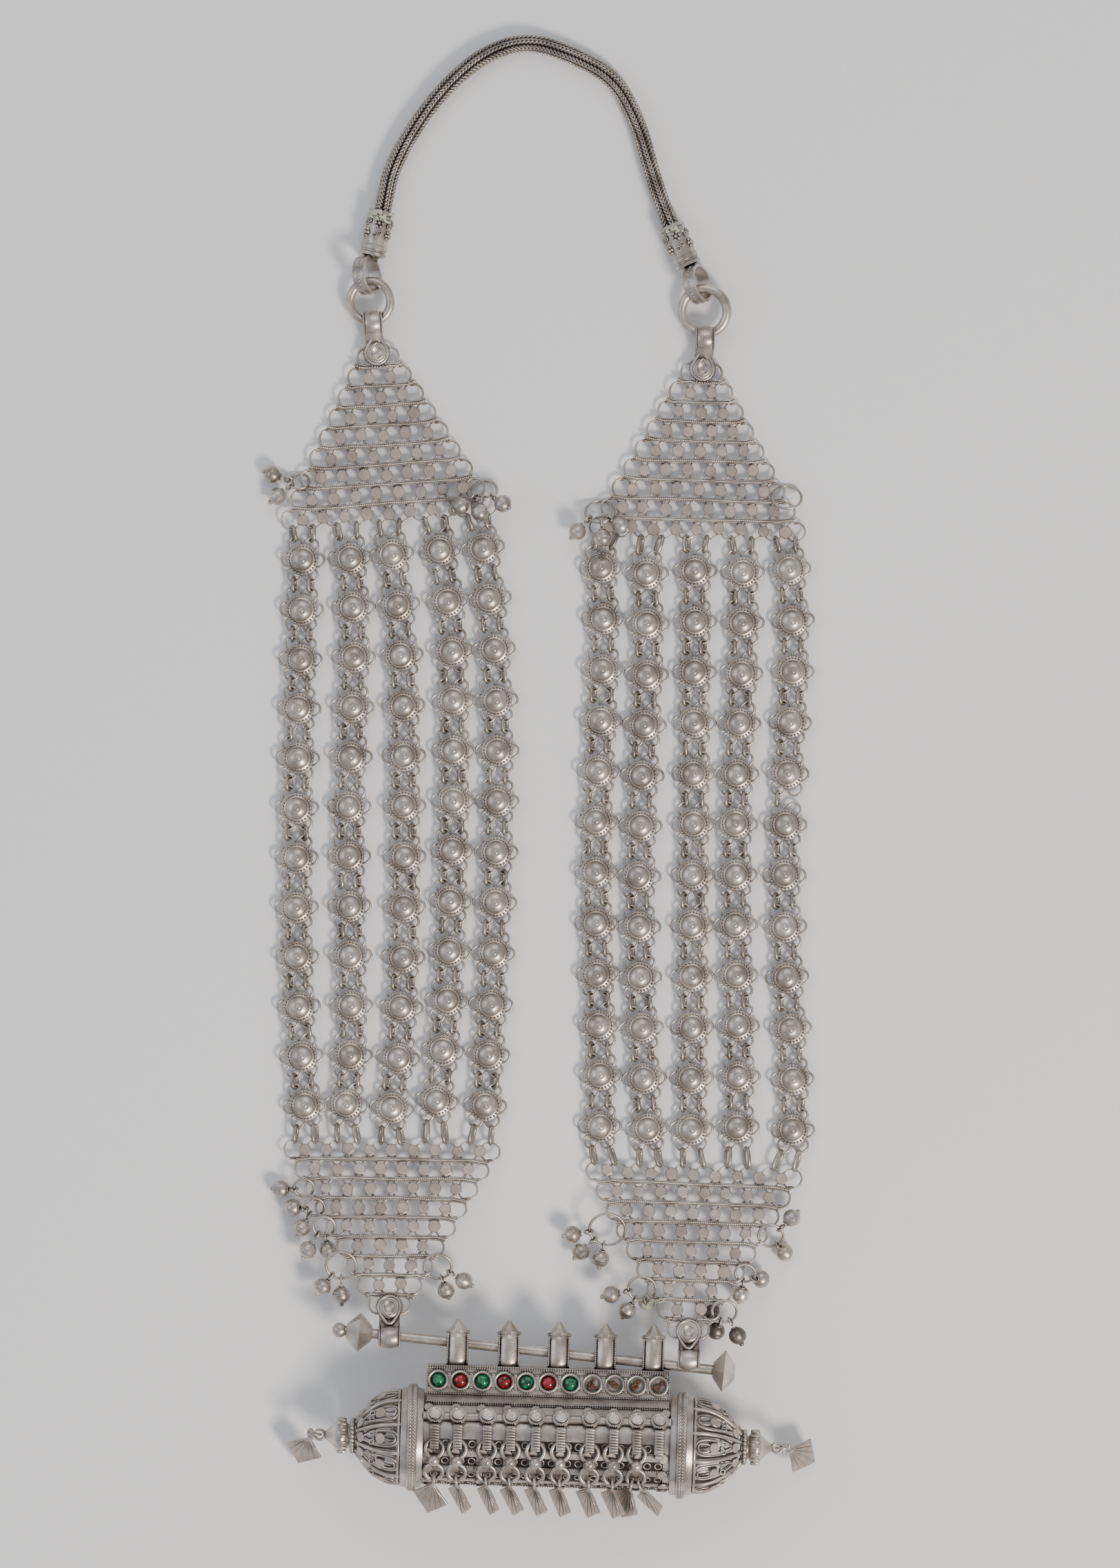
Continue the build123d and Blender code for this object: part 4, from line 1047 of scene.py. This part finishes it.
dome = {
    "start": 52.75,
    "left": 17.0,
    "right": 18.3,
    "ribs": 10,
    "baseRadius": 16.6,
    "middleRadius": 12.9,
    "middleShare": 0.6,
    "endRadius": 4.6,
    # each panel's two wire loops, as shares of the dome's length and of half a panel's width
    "outerLoop": ((0.05, -0.55), (0.05, 0.55), (0.45, 0.62), (0.72, 0.35), (0.8, 0), (0.72, -0.35),
                  (0.45, -0.62)),
    "innerLoop": ((0.1, -0.3), (0.1, 0.3), (0.3, 0.3), (0.4, 0), (0.3, -0.3)),
}


def domeRadius(share):  # smooth outline through the dome's base, middle and end
    base, middle, end = dome["baseRadius"], dome["middleRadius"], dome["endRadius"]
    middleShare = dome["middleShare"]
    slope = (middle - base) / middleShare
    bend = ((end - base) - slope) / (1 - middleShare)
    return base + slope * share + share * (share - middleShare) * bend


def makeDome(side):
    shell = dome[side]
    chance = random.Random(side)
    sign = -1 if side == "left" else 1
    place = case["place"] @ placeAt(sign * dome["start"], 0, 0, turn=180 if side == "left" else 0)
    wires, discs, beads, scrolls = [], [], [], []

    def onDome(share, angle, lift=0.0):
        radius = domeRadius(share) + lift
        return Vector((share * shell, -math.sin(angle) * radius, math.cos(angle) * radius))

    for rib in range(dome["ribs"]):
        angle = 2 * math.pi * (rib + 0.5) / dome["ribs"]
        wires.append(bentWire([onDome(step / 8, angle) for step in range(9)], 0.75))
        middle = 2 * math.pi * rib / dome["ribs"]
        halfPanel = math.pi / dome["ribs"]
        for panelLoop, wire in ((dome["outerLoop"], 0.42), (dome["innerLoop"], 0.34)):
            loop = [onDome(share, middle + halfPanel * across) for share, across in panelLoop]
            wires.append(bentWire(loop, wire, closed=True))
        for share, size in ((0.42, 1.0), (0.84, 0.95)):
            point = onDome(share, middle, 0.35)
            ahead = onDome(share + 0.05, middle, 0.35) - point
            out = Vector((0, -math.sin(middle), math.cos(middle)))
            turned = placeAt(0, 0, 0, turn=chance.uniform(0, 60), size=size)
            discs.append(place @ placeAlong(point, ahead, out) @ turned)
        for offset in (-0.34, 0.34):
            point = onDome(0.6, middle + halfPanel * offset, 0.1)
            out = Vector((0, -math.sin(middle), math.cos(middle)))
            scrolls.append(place @ placeAlong(point, onDome(0.65, middle) - point, out))
    for step in range(24):
        angle = 2 * math.pi * step / 24
        beads.append(place @ placeAt(shell + 0.4, 5.7 * math.cos(angle), 5.7 * math.sin(angle)))
    flutes = []
    for step in range(16):
        angle = 2 * math.pi * step / 16
        out = Vector((0, math.cos(angle), math.sin(angle)))
        flutes.append(place @ placeAlong(Vector((shell + 4.3, 0, 0)) + out * 6.0, (1, 0, 0), out))
    bellOutline = ((0, -1.2), (4.8, -1.2), (5.0, 0.4), (4.4, 1.4), (4.2, 2.0), (5.4, 2.6), (6.2, 4.2),
                   (6.0, 5.6), (4.6, 6.6), (3.0, 8.0), (1.9, 9.6), (1.3, 10.3), (0, 10.4))
    bell = spunShape([(radius, shell + height) for radius, height in bellOutline], 28)
    base = wireRing(16.4, 0.8, 40, 6)
    neck = wireRing(5.0, 0.7, 24, 6)
    tipLoop = wireRing(1.8, 0.5, 18, 6)
    along = Matrix.Rotation(math.radians(90), 4, "Y")
    piece = joinCopies(f"{side}DomeWirework", [
        *[(wire, [place], 0) for wire in wires],
        (plate(7, 2.0, 0.7, 0.15), discs, 1),
        (wireRing(0.9, 0.32, 10, 5), scrolls, 0),
        (granule(0.95, 2), beads, 2),
        (capsule(0.62, 3.6), flutes, 2),
        (bell, [place @ along], 2),
        (base, [place @ placeAt(0.5, 0, 0) @ along], 0),
        (neck, [place @ placeAt(shell - 0.6, 0, 0) @ along], 0),
        (tipLoop, [place @ placeAt(shell + 12.2, 0, 0)], 0),
    ], [silver, discSilver, polishedSilver])
    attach(piece, "case")
    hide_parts(f"{side}_dome")


makeDome("left")
makeDome("right")
print("domes made")


# Drops on the case: a ring, a ball on a second ring, and a ribbed kite leaf

drops = {
    "ringRadius": 3.2,
    "ringWire": 0.78,
    "ballRadius": 2.15,
    "grains": 70,
    "goldenTurn": 2.39996,  # radians between one grain and the next, which spreads them evenly
    "upperTop": (0.1, 17.95),
    "upperEnd": (-6.27, 17.35),
    "lowerFall": 27,
    "leafFall": 42,
    "hookRadius": 1.9,
    "hookWire": 0.6,
    "leafLength": 15.0,
    "leafHalfWidth": 7.0,
    "leafShoulder": 7.0,
    "leafThickness": 0.75,
    "ribs": 7,
    "ribLength": 8.0,
}

dropTable = (
    # boss, ball with granules, leaves as (place on the ring, lean, turn)
    (0, False, ((0, -6, 22),)),
    (1, False, ((0, 8, 52),)),
    (2, True, ((0, 6, 54),)),
    (3, True, ((0, 6, 50),)),
    (4, True, ((0, 4, 52),)),
    (5, False, ((0, 2, 54),)),
    (6, True, ((0, 0, 50),)),
    (7, True, ((0, 2, 50),)),
    (8, False, ((-28, -10, 52), (28, 24, 42))),
)


def leafShape():  # a thin plate, pressed to a shallow ridge, wider at its shoulders than at its tip
    size = drops
    deselectAll()
    bpy.ops.mesh.primitive_plane_add(size=2)
    piece = bpy.context.object
    corners = ((0, 0), (size["leafHalfWidth"], -size["leafShoulder"]), (0, -size["leafLength"]),
               (-size["leafHalfWidth"], -size["leafShoulder"]))
    for vertex, (x, y) in zip((piece.data.vertices[index] for index in (3, 1, 0, 2)), corners):
        vertex.co = (x * 0.98, y, 0)
    wall = piece.modifiers.new("wall", "SOLIDIFY")
    wall.thickness = size["leafThickness"]
    wall.offset = 0
    bpy.ops.object.modifier_apply(modifier="wall")
    edge = piece.modifiers.new("edge", "BEVEL")
    edge.width = 0.15
    bpy.ops.object.modifier_apply(modifier="edge")
    return takeShape(smooth=False)


def leafParts(place, plates, ribs, beads):  # the places of one leaf's plate, ribs and edge beads
    size = drops
    plates.append(place)
    for face in (-1, 1):
        for rib in range(size["ribs"]):
            share = rib / (size["ribs"] - 1) * 2 - 1
            angle = share * 40
            length = 5.4 + 7.0 * (1 - abs(share)) ** 0.8
            fan = Matrix.Rotation(math.radians(angle), 4, "Z") @ Matrix.Translation((0, -1.8 - length / 2, 0))
            onFace = Matrix.Translation((0, 0, face * 0.42))
            ribs.append(place @ onFace @ fan @ Matrix.Diagonal((1, length / size["ribLength"], 1, 1)))
    for side in (-1, 1):
        for step in range(22):
            share = step / 21
            shoulder = size["leafShoulder"] / size["leafLength"]
            reach = share / shoulder if share < shoulder else (1 - share) / (1 - shoulder)
            x = side * (size["leafHalfWidth"] * reach - 0.35) if reach > 0.05 else 0
            beads.append(place @ placeAt(x, -share * size["leafLength"] + (0.4 if share == 1 else -0.2), 0))


def hangLeaf(hook, direction, tangent, widthWay, turn, hooks, plates, ribs, beads, inside):
    size = drops
    hookNormal = (tangent - direction * tangent.dot(direction)).normalized()
    hooks.append(inside @ placeAlong(hook, direction, hookNormal))
    flatNormal = direction.cross(widthWay).normalized()
    sideWay = direction.cross(flatNormal)
    normal = flatNormal * math.cos(math.radians(turn)) + sideWay * math.sin(math.radians(turn))
    top = hook + direction * (size["hookRadius"] + 0.2)
    leafParts(inside @ placeAlong(top, -direction, normal), plates, ribs, beads)


leafPlate = leafShape()
leafRib = capsule(0.3, drops["ribLength"])
leafBead = granule(0.36)
hookRing = wireRing(drops["hookRadius"], drops["hookWire"], 18, 6)


def makeDrops():
    size = drops
    ring = wireRing(size["ringRadius"], size["ringWire"], 24, 8)
    ball = granule(size["ballRadius"], 3)
    grain = granule(0.34)
    for number, (boss, granulated, leaves) in enumerate(dropTable, start=1):
        inside = case["place"]
        bossX = Vector((case["bosses"][boss], 0, 0))
        start = bossX + Vector((0, *size["upperTop"]))
        end = bossX + Vector((0, *size["upperEnd"]))
        fallAngle = math.radians(size["lowerFall"])
        fall = Vector((0, -math.cos(fallAngle), -math.sin(fallAngle)))
        across = Vector((1, 0, 0))
        ballMiddle = end + (end - start).normalized() * 0.9
        lowerMiddle = ballMiddle + fall * (1.5 + size["ringRadius"])
        rings = [inside @ placeAlong((start + end) / 2, end - start, across.cross(end - start)),
                 inside @ placeAlong(lowerMiddle, fall, across.cross(fall))]
        grains = []
        if granulated:
            for step in range(size["grains"]):
                height = 1 - 2 * (step + 0.5) / size["grains"]
                angle = step * size["goldenTurn"]
                wide = math.sqrt(1 - height**2)
                out = Vector((wide * math.cos(angle), wide * math.sin(angle), height)) * size["ballRadius"]
                grains.append(inside @ Matrix.Translation(ballMiddle + out))
        hooks, plates, ribs, beads = [], [], [], []
        for placeOnRing, lean, turn in leaves:
            leanAngle = math.radians(lean)
            leafFall = math.radians(size["leafFall"])
            leafWay = Vector((math.sin(leanAngle), -math.cos(leafFall) * math.cos(leanAngle),
                              -math.sin(leafFall) * math.cos(leanAngle)))
            swing = math.radians(placeOnRing)
            out = fall * math.cos(swing) + across * math.sin(swing)
            tangent = across * math.cos(swing) - fall * math.sin(swing)
            hook = lowerMiddle + out * size["ringRadius"] + leafWay * 0.12
            hangLeaf(hook, leafWay, tangent, across, turn, hooks, plates, ribs, beads, inside)
        piece = joinCopies(f"drop{number}", [
            (ring, rings, 0),
            (ball, [inside @ Matrix.Translation(ballMiddle)], 1),
            (grain, grains, 0),
            (hookRing, hooks, 0),
            (leafPlate, plates, 2),
            (leafRib, ribs, 0),
            (leafBead, beads, 1),
        ], [silver, polishedSilver, discSilver])
        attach(piece, "case")
        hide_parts(f"drop_{number}")


finialDrop = {
    "jumpRadius": 2.4,
    "jumpWire": 0.5,
    "jumpDepth": 1.2,
    "tipLoop": 1.8,
    "fall": 46,
    "left": (-0.37, -0.93),
    "right": (0.9, -0.44),
}


def makeFinialDrop(side):
    size = finialDrop
    sign = -1 if side == "left" else 1
    tipX = dome["start"] + dome[side] + 10.4 + size["tipLoop"]
    jumpMiddle = Vector((sign * (tipX + math.sqrt(size["jumpRadius"]**2 - size["jumpDepth"]**2)), 0,
                         -size["jumpDepth"]))
    hang = Vector((sign * 0.5, 0, -math.sqrt(0.75)))
    fall = math.radians(size["fall"])
    flatX, flatY = size[side]
    leafWay = Vector((flatX * math.cos(fall), flatY * math.cos(fall), -math.sin(fall)))
    hook = jumpMiddle + hang * size["jumpRadius"] + leafWay * 0.25
    tangent = Vector((0, 1, 0)).cross(hang)
    widthWay = leafWay.cross(Vector((0, 0, 1))).normalized()
    hooks, plates, ribs, beads = [], [], [], []
    hangLeaf(hook, leafWay, tangent, widthWay, 0, hooks, plates, ribs, beads, case["place"])
    jump = case["place"] @ placeAlong(jumpMiddle, (1, 0, 0), (0, 1, 0))
    piece = joinCopies(f"{side}FinialDrop", [
        (wireRing(size["jumpRadius"], size["jumpWire"], 20, 6), [jump], 0),
        (hookRing, hooks, 0),
        (leafPlate, plates, 2),
        (leafRib, ribs, 0),
        (leafBead, beads, 1),
    ], [silver, polishedSilver, discSilver])
    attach(piece, "case")
    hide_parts(f"{side}_finial_drop")


makeDrops()
makeFinialDrop("left")
makeFinialDrop("right")
print("drops made")


# Bells: closed balls of two pressed halves, on wire rings in the lattices' end loops

bells = {
    "radius": 3.2,
    "loopRadius": 1.55,
    "loopWire": 0.42,
    "knob": 0.9,
    "ballReach": 3.25,
    "restZ": 3.3,
    "reach": 5.5,
    "ringWire": 0.55,
    "ringTilt": 40,
    "ringDip": 3.1,
    "overZ": 9.0,
}

bellClusters = (
    # node, lattice, row, side, ring radius, reach into the loop, bells as (x, y, lies over, look)
    ("left_upper_bells_outer", "left_upper_lattice", 7, -1, 3.6, 3.0,
     ((-97.1, 108.75, 0, "worn"), (-95.3, 100.75, 0, "silver"))),
    ("left_upper_bells_inner", "left_upper_lattice", 8, 1, 4.6, 4.2,
     ((-29.1, 97.1, 1, "silver"), (-21.9, 94.75, 1, "worn"), (-13.6, 98.0, 1, "silver"))),
    ("right_upper_bells_inner", "right_upper_lattice", 8, -1, 5.2, 4.2,
     ((13.4, 88.0, 0, "silver"), (22.6, 85.5, 1, "worn"), (29.0, 90.0, 1, "silver"))),
    ("right_upper_open_ring", "right_upper_lattice", 7, 1, 5.4, 3.9, ()),
    ("left_lower_bells_top", "left_lower_lattice", 7, -1, 3.6, 3.0, ((-94.1, -150.2, 0, "silver"),)),
    ("left_lower_bells_upper", "left_lower_lattice", 6, -1, 3.6, 3.0,
     ((-89.6, -156.9, 0, "silver"), (-86.3, -164.2, 0, "worn"))),
    ("left_lower_bells_middle", "left_lower_lattice", 5, -1, 4.0, 3.0,
     ((-84.2, -172.1, 0, "silver"), (-77.0, -172.1, 0, "silver"))),
    ("left_lower_bells_end", "left_lower_lattice", 3, -1, 5.5, 3.0,
     ((-78.9, -185.5, 0, "silver"), (-72.0, -188.4, 0, "worn"))),
    ("left_lower_bells_inner", "left_lower_lattice", 3, 1, 5.0, 3.0,
     ((-34.1, -186.75, 0, "silver"), (-27.6, -183.2, 0, "silver"))),
    ("right_lower_bells_inner", "right_lower_lattice", 6, -1, 6.5, 3.0,
     ((11.5, -166.5, 0, "silver"), (14.6, -172.9, 0, "worn"), (21.8, -175.6, 0, "silver"))),
    ("right_lower_bells_end", "right_lower_lattice", 3, -1, 5.0, 3.0,
     ((25.6, -188.2, 0, "silver"), (31.4, -194.0, 0, "silver"), (38.6, -191.0, 0, "green"))),
    ("right_lower_bells_outer", "right_lower_lattice", 6, 1, 4.5, 3.0,
     ((90.9, -160.5, 0, "silver"), (88.4, -173.2, 0, "silver"))),
    ("right_lower_bells_side", "right_lower_lattice", 4, 1, 3.6, 3.0,
     ((79.9, -182.8, 0, "silver"), (72.5, -188.3, 0, "worn"))),
    ("right_lower_bells_tip", "right_lower_lattice", 2, 1, 4.5, 3.0,
     ((62.3, -195.0, 0, "dark"), (63.6, -201.5, 0, "dark"), (71.3, -203.0, 0, "dark"))),
)


def clusterPlace(latticeName, row, side, ringRadius, inset):
    # The ring's frame as a matrix: X outwards from the lattice, Z square to the ring
    place = latticePlaces[latticeName]
    upper = "upper" in latticeName
    localSide = -side if upper else side
    rowY = (row - 1.5) * lattice["rowPitch"]
    edgeX = localSide * (row * lattice["ringPitch"] / 2 + 3.4)
    edge = place @ Vector((edgeX, rowY, 0))
    outward = place @ Vector((edgeX + localSide, rowY, 0)) - edge
    above = place @ Vector((edgeX, rowY, 1)) - edge
    sideways = above.cross(outward)
    if sideways.y * (-1 if upper else 1) < 0:
        sideways = -sideways
    tilt = math.radians(bells["ringTilt"])
    slopeWay = sideways * math.cos(tilt) + above * math.sin(tilt)
    chordOffset = max(0, ringRadius - bells["ringDip"]) if upper else 0
    middle = edge + outward * (math.sqrt(ringRadius**2 - chordOffset**2) - inset) + slopeWay * chordOffset
    frameMatrix = Matrix((outward, slopeWay, outward.cross(slopeWay))).transposed().to_4x4()
    frameMatrix.translation = middle
    return frameMatrix


def makeBells():
    size = bells
    upperHalf = [(3.24, 0.12), (3.16, 0.18), (3.12, 0.7), (2.7, 1.72), (1.9, 2.58), (0.9, 3.08), (0, 3.2)]
    lowerHalf = [(radius, -height) for radius, height in reversed(upperHalf)]
    body = spunShape(lowerHalf + upperHalf, 20)
    loop = wireRing(size["loopRadius"], size["loopWire"], 14, 6)
    knob = granule(size["knob"], 2)
    collar = wireRing(1.0, 0.3, 12, 5)
    lookNumbers = {"silver": 0, "worn": 1, "green": 2, "dark": 3}
    for node, latticeName, row, side, ringRadius, inset, balls in bellClusters:
        ringPlace = clusterPlace(latticeName, row, side, ringRadius, inset)
        xWay = ringPlace.to_3x3().col[0]
        yWay = ringPlace.to_3x3().col[1]
        centre = ringPlace.translation
        groups = [(wireRing(ringRadius, size["ringWire"], 28, 6), [ringPlace], 0)]
        for x, y, over, look in balls:
            middle = Vector((x, y, centre.z))
            spot = centre
            for attempt in range(8):
                reach = middle - centre
                angle = math.atan2(reach.dot(yWay), reach.dot(xWay))
                spot = centre + (xWay * math.cos(angle) + yWay * math.sin(angle)) * ringRadius
                drop = math.sqrt(max(0, size["reach"]**2 - (x - spot.x) ** 2 - (y - spot.y) ** 2))
                knobDepth = size["knob"] - (middle - spot).normalized().z * size["ballReach"]
                z = max(size["restZ"], knobDepth + 0.05, spot.z - drop)
                middle = Vector((x, y, max(z, size["overZ"]) if over else z))
            way = (middle - spot).normalized()
            tangent = yWay * math.cos(angle) - xWay * math.sin(angle)
            loopNormal = (tangent - way * tangent.dot(way)).normalized()
            alongWay = placeAlong(middle, loopNormal, way)
            number = lookNumbers[look]
            groups += [
                (body, [alongWay], number), (knob, [alongWay @ placeAt(0, 0, 3.3)], number),
                (collar, [alongWay @ placeAt(0, 0, -3.15)], 0),
                (loop, [placeAlong(spot + way * 0.25, way, loopNormal)], 0),
            ]
        name = "".join(word.capitalize() for word in node.split("_"))
        piece = joinCopies(name[0].lower() + name[1:], groups, [silver, bellSilver, verdigris, darkSilver])
        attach(piece, "necklace")
        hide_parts(node)


makeBells()
print("bells made")


# Floor and light

def makeFloor():
    deselectAll()
    bpy.ops.mesh.primitive_plane_add(size=6, location=(0, 0, 0))
    floor = bpy.context.object
    floor.name = "floor"
    paper = bpy.data.materials.new("palePaper")
    paper.use_nodes = True
    shader = paper.node_tree.nodes["Principled BSDF"]
    shader.inputs["Base Color"].default_value = linearColour("#f2f2f4")
    shader.inputs["Roughness"].default_value = 0.7
    shader.inputs["Specular IOR Level"].default_value = 0.2
    floor.data.materials.append(paper)


def makeLight(name, place, target, size, power, colour):
    data = bpy.data.lights.new(name, "AREA")
    data.shape = "DISK"
    data.size = size
    data.energy = power
    data.color = linearColour(colour)[:3]
    light = bpy.data.objects.new(name, data)
    light.location = place
    light.rotation_euler = (Vector(target) - Vector(place)).to_track_quat("-Z", "Y").to_euler()
    bpy.context.collection.objects.link(light)


studio = {
    "key": ((0.95, -1.15, 1.5), 0.55, 36, "#fff4e6"),
    "side": ((-1.5, 0.2, 1.3), 1.5, 7, "#e8f0ff"),
    "top": ((0.2, 1.5, 1.5), 1.6, 9, "#ffffff"),
    "sky": 0.52,
}
makeFloor()
for lightName in ("key", "side", "top"):
    place, size, power, colour = studio[lightName]
    makeLight(lightName, place, (0, 0, 0), size, power, colour)
world = bpy.data.worlds.new("studio")
world.use_nodes = True
world.node_tree.nodes["Background"].inputs["Color"].default_value = linearColour("#eceef2")
world.node_tree.nodes["Background"].inputs["Strength"].default_value = studio["sky"]
bpy.context.scene.world = world
print("studio made")
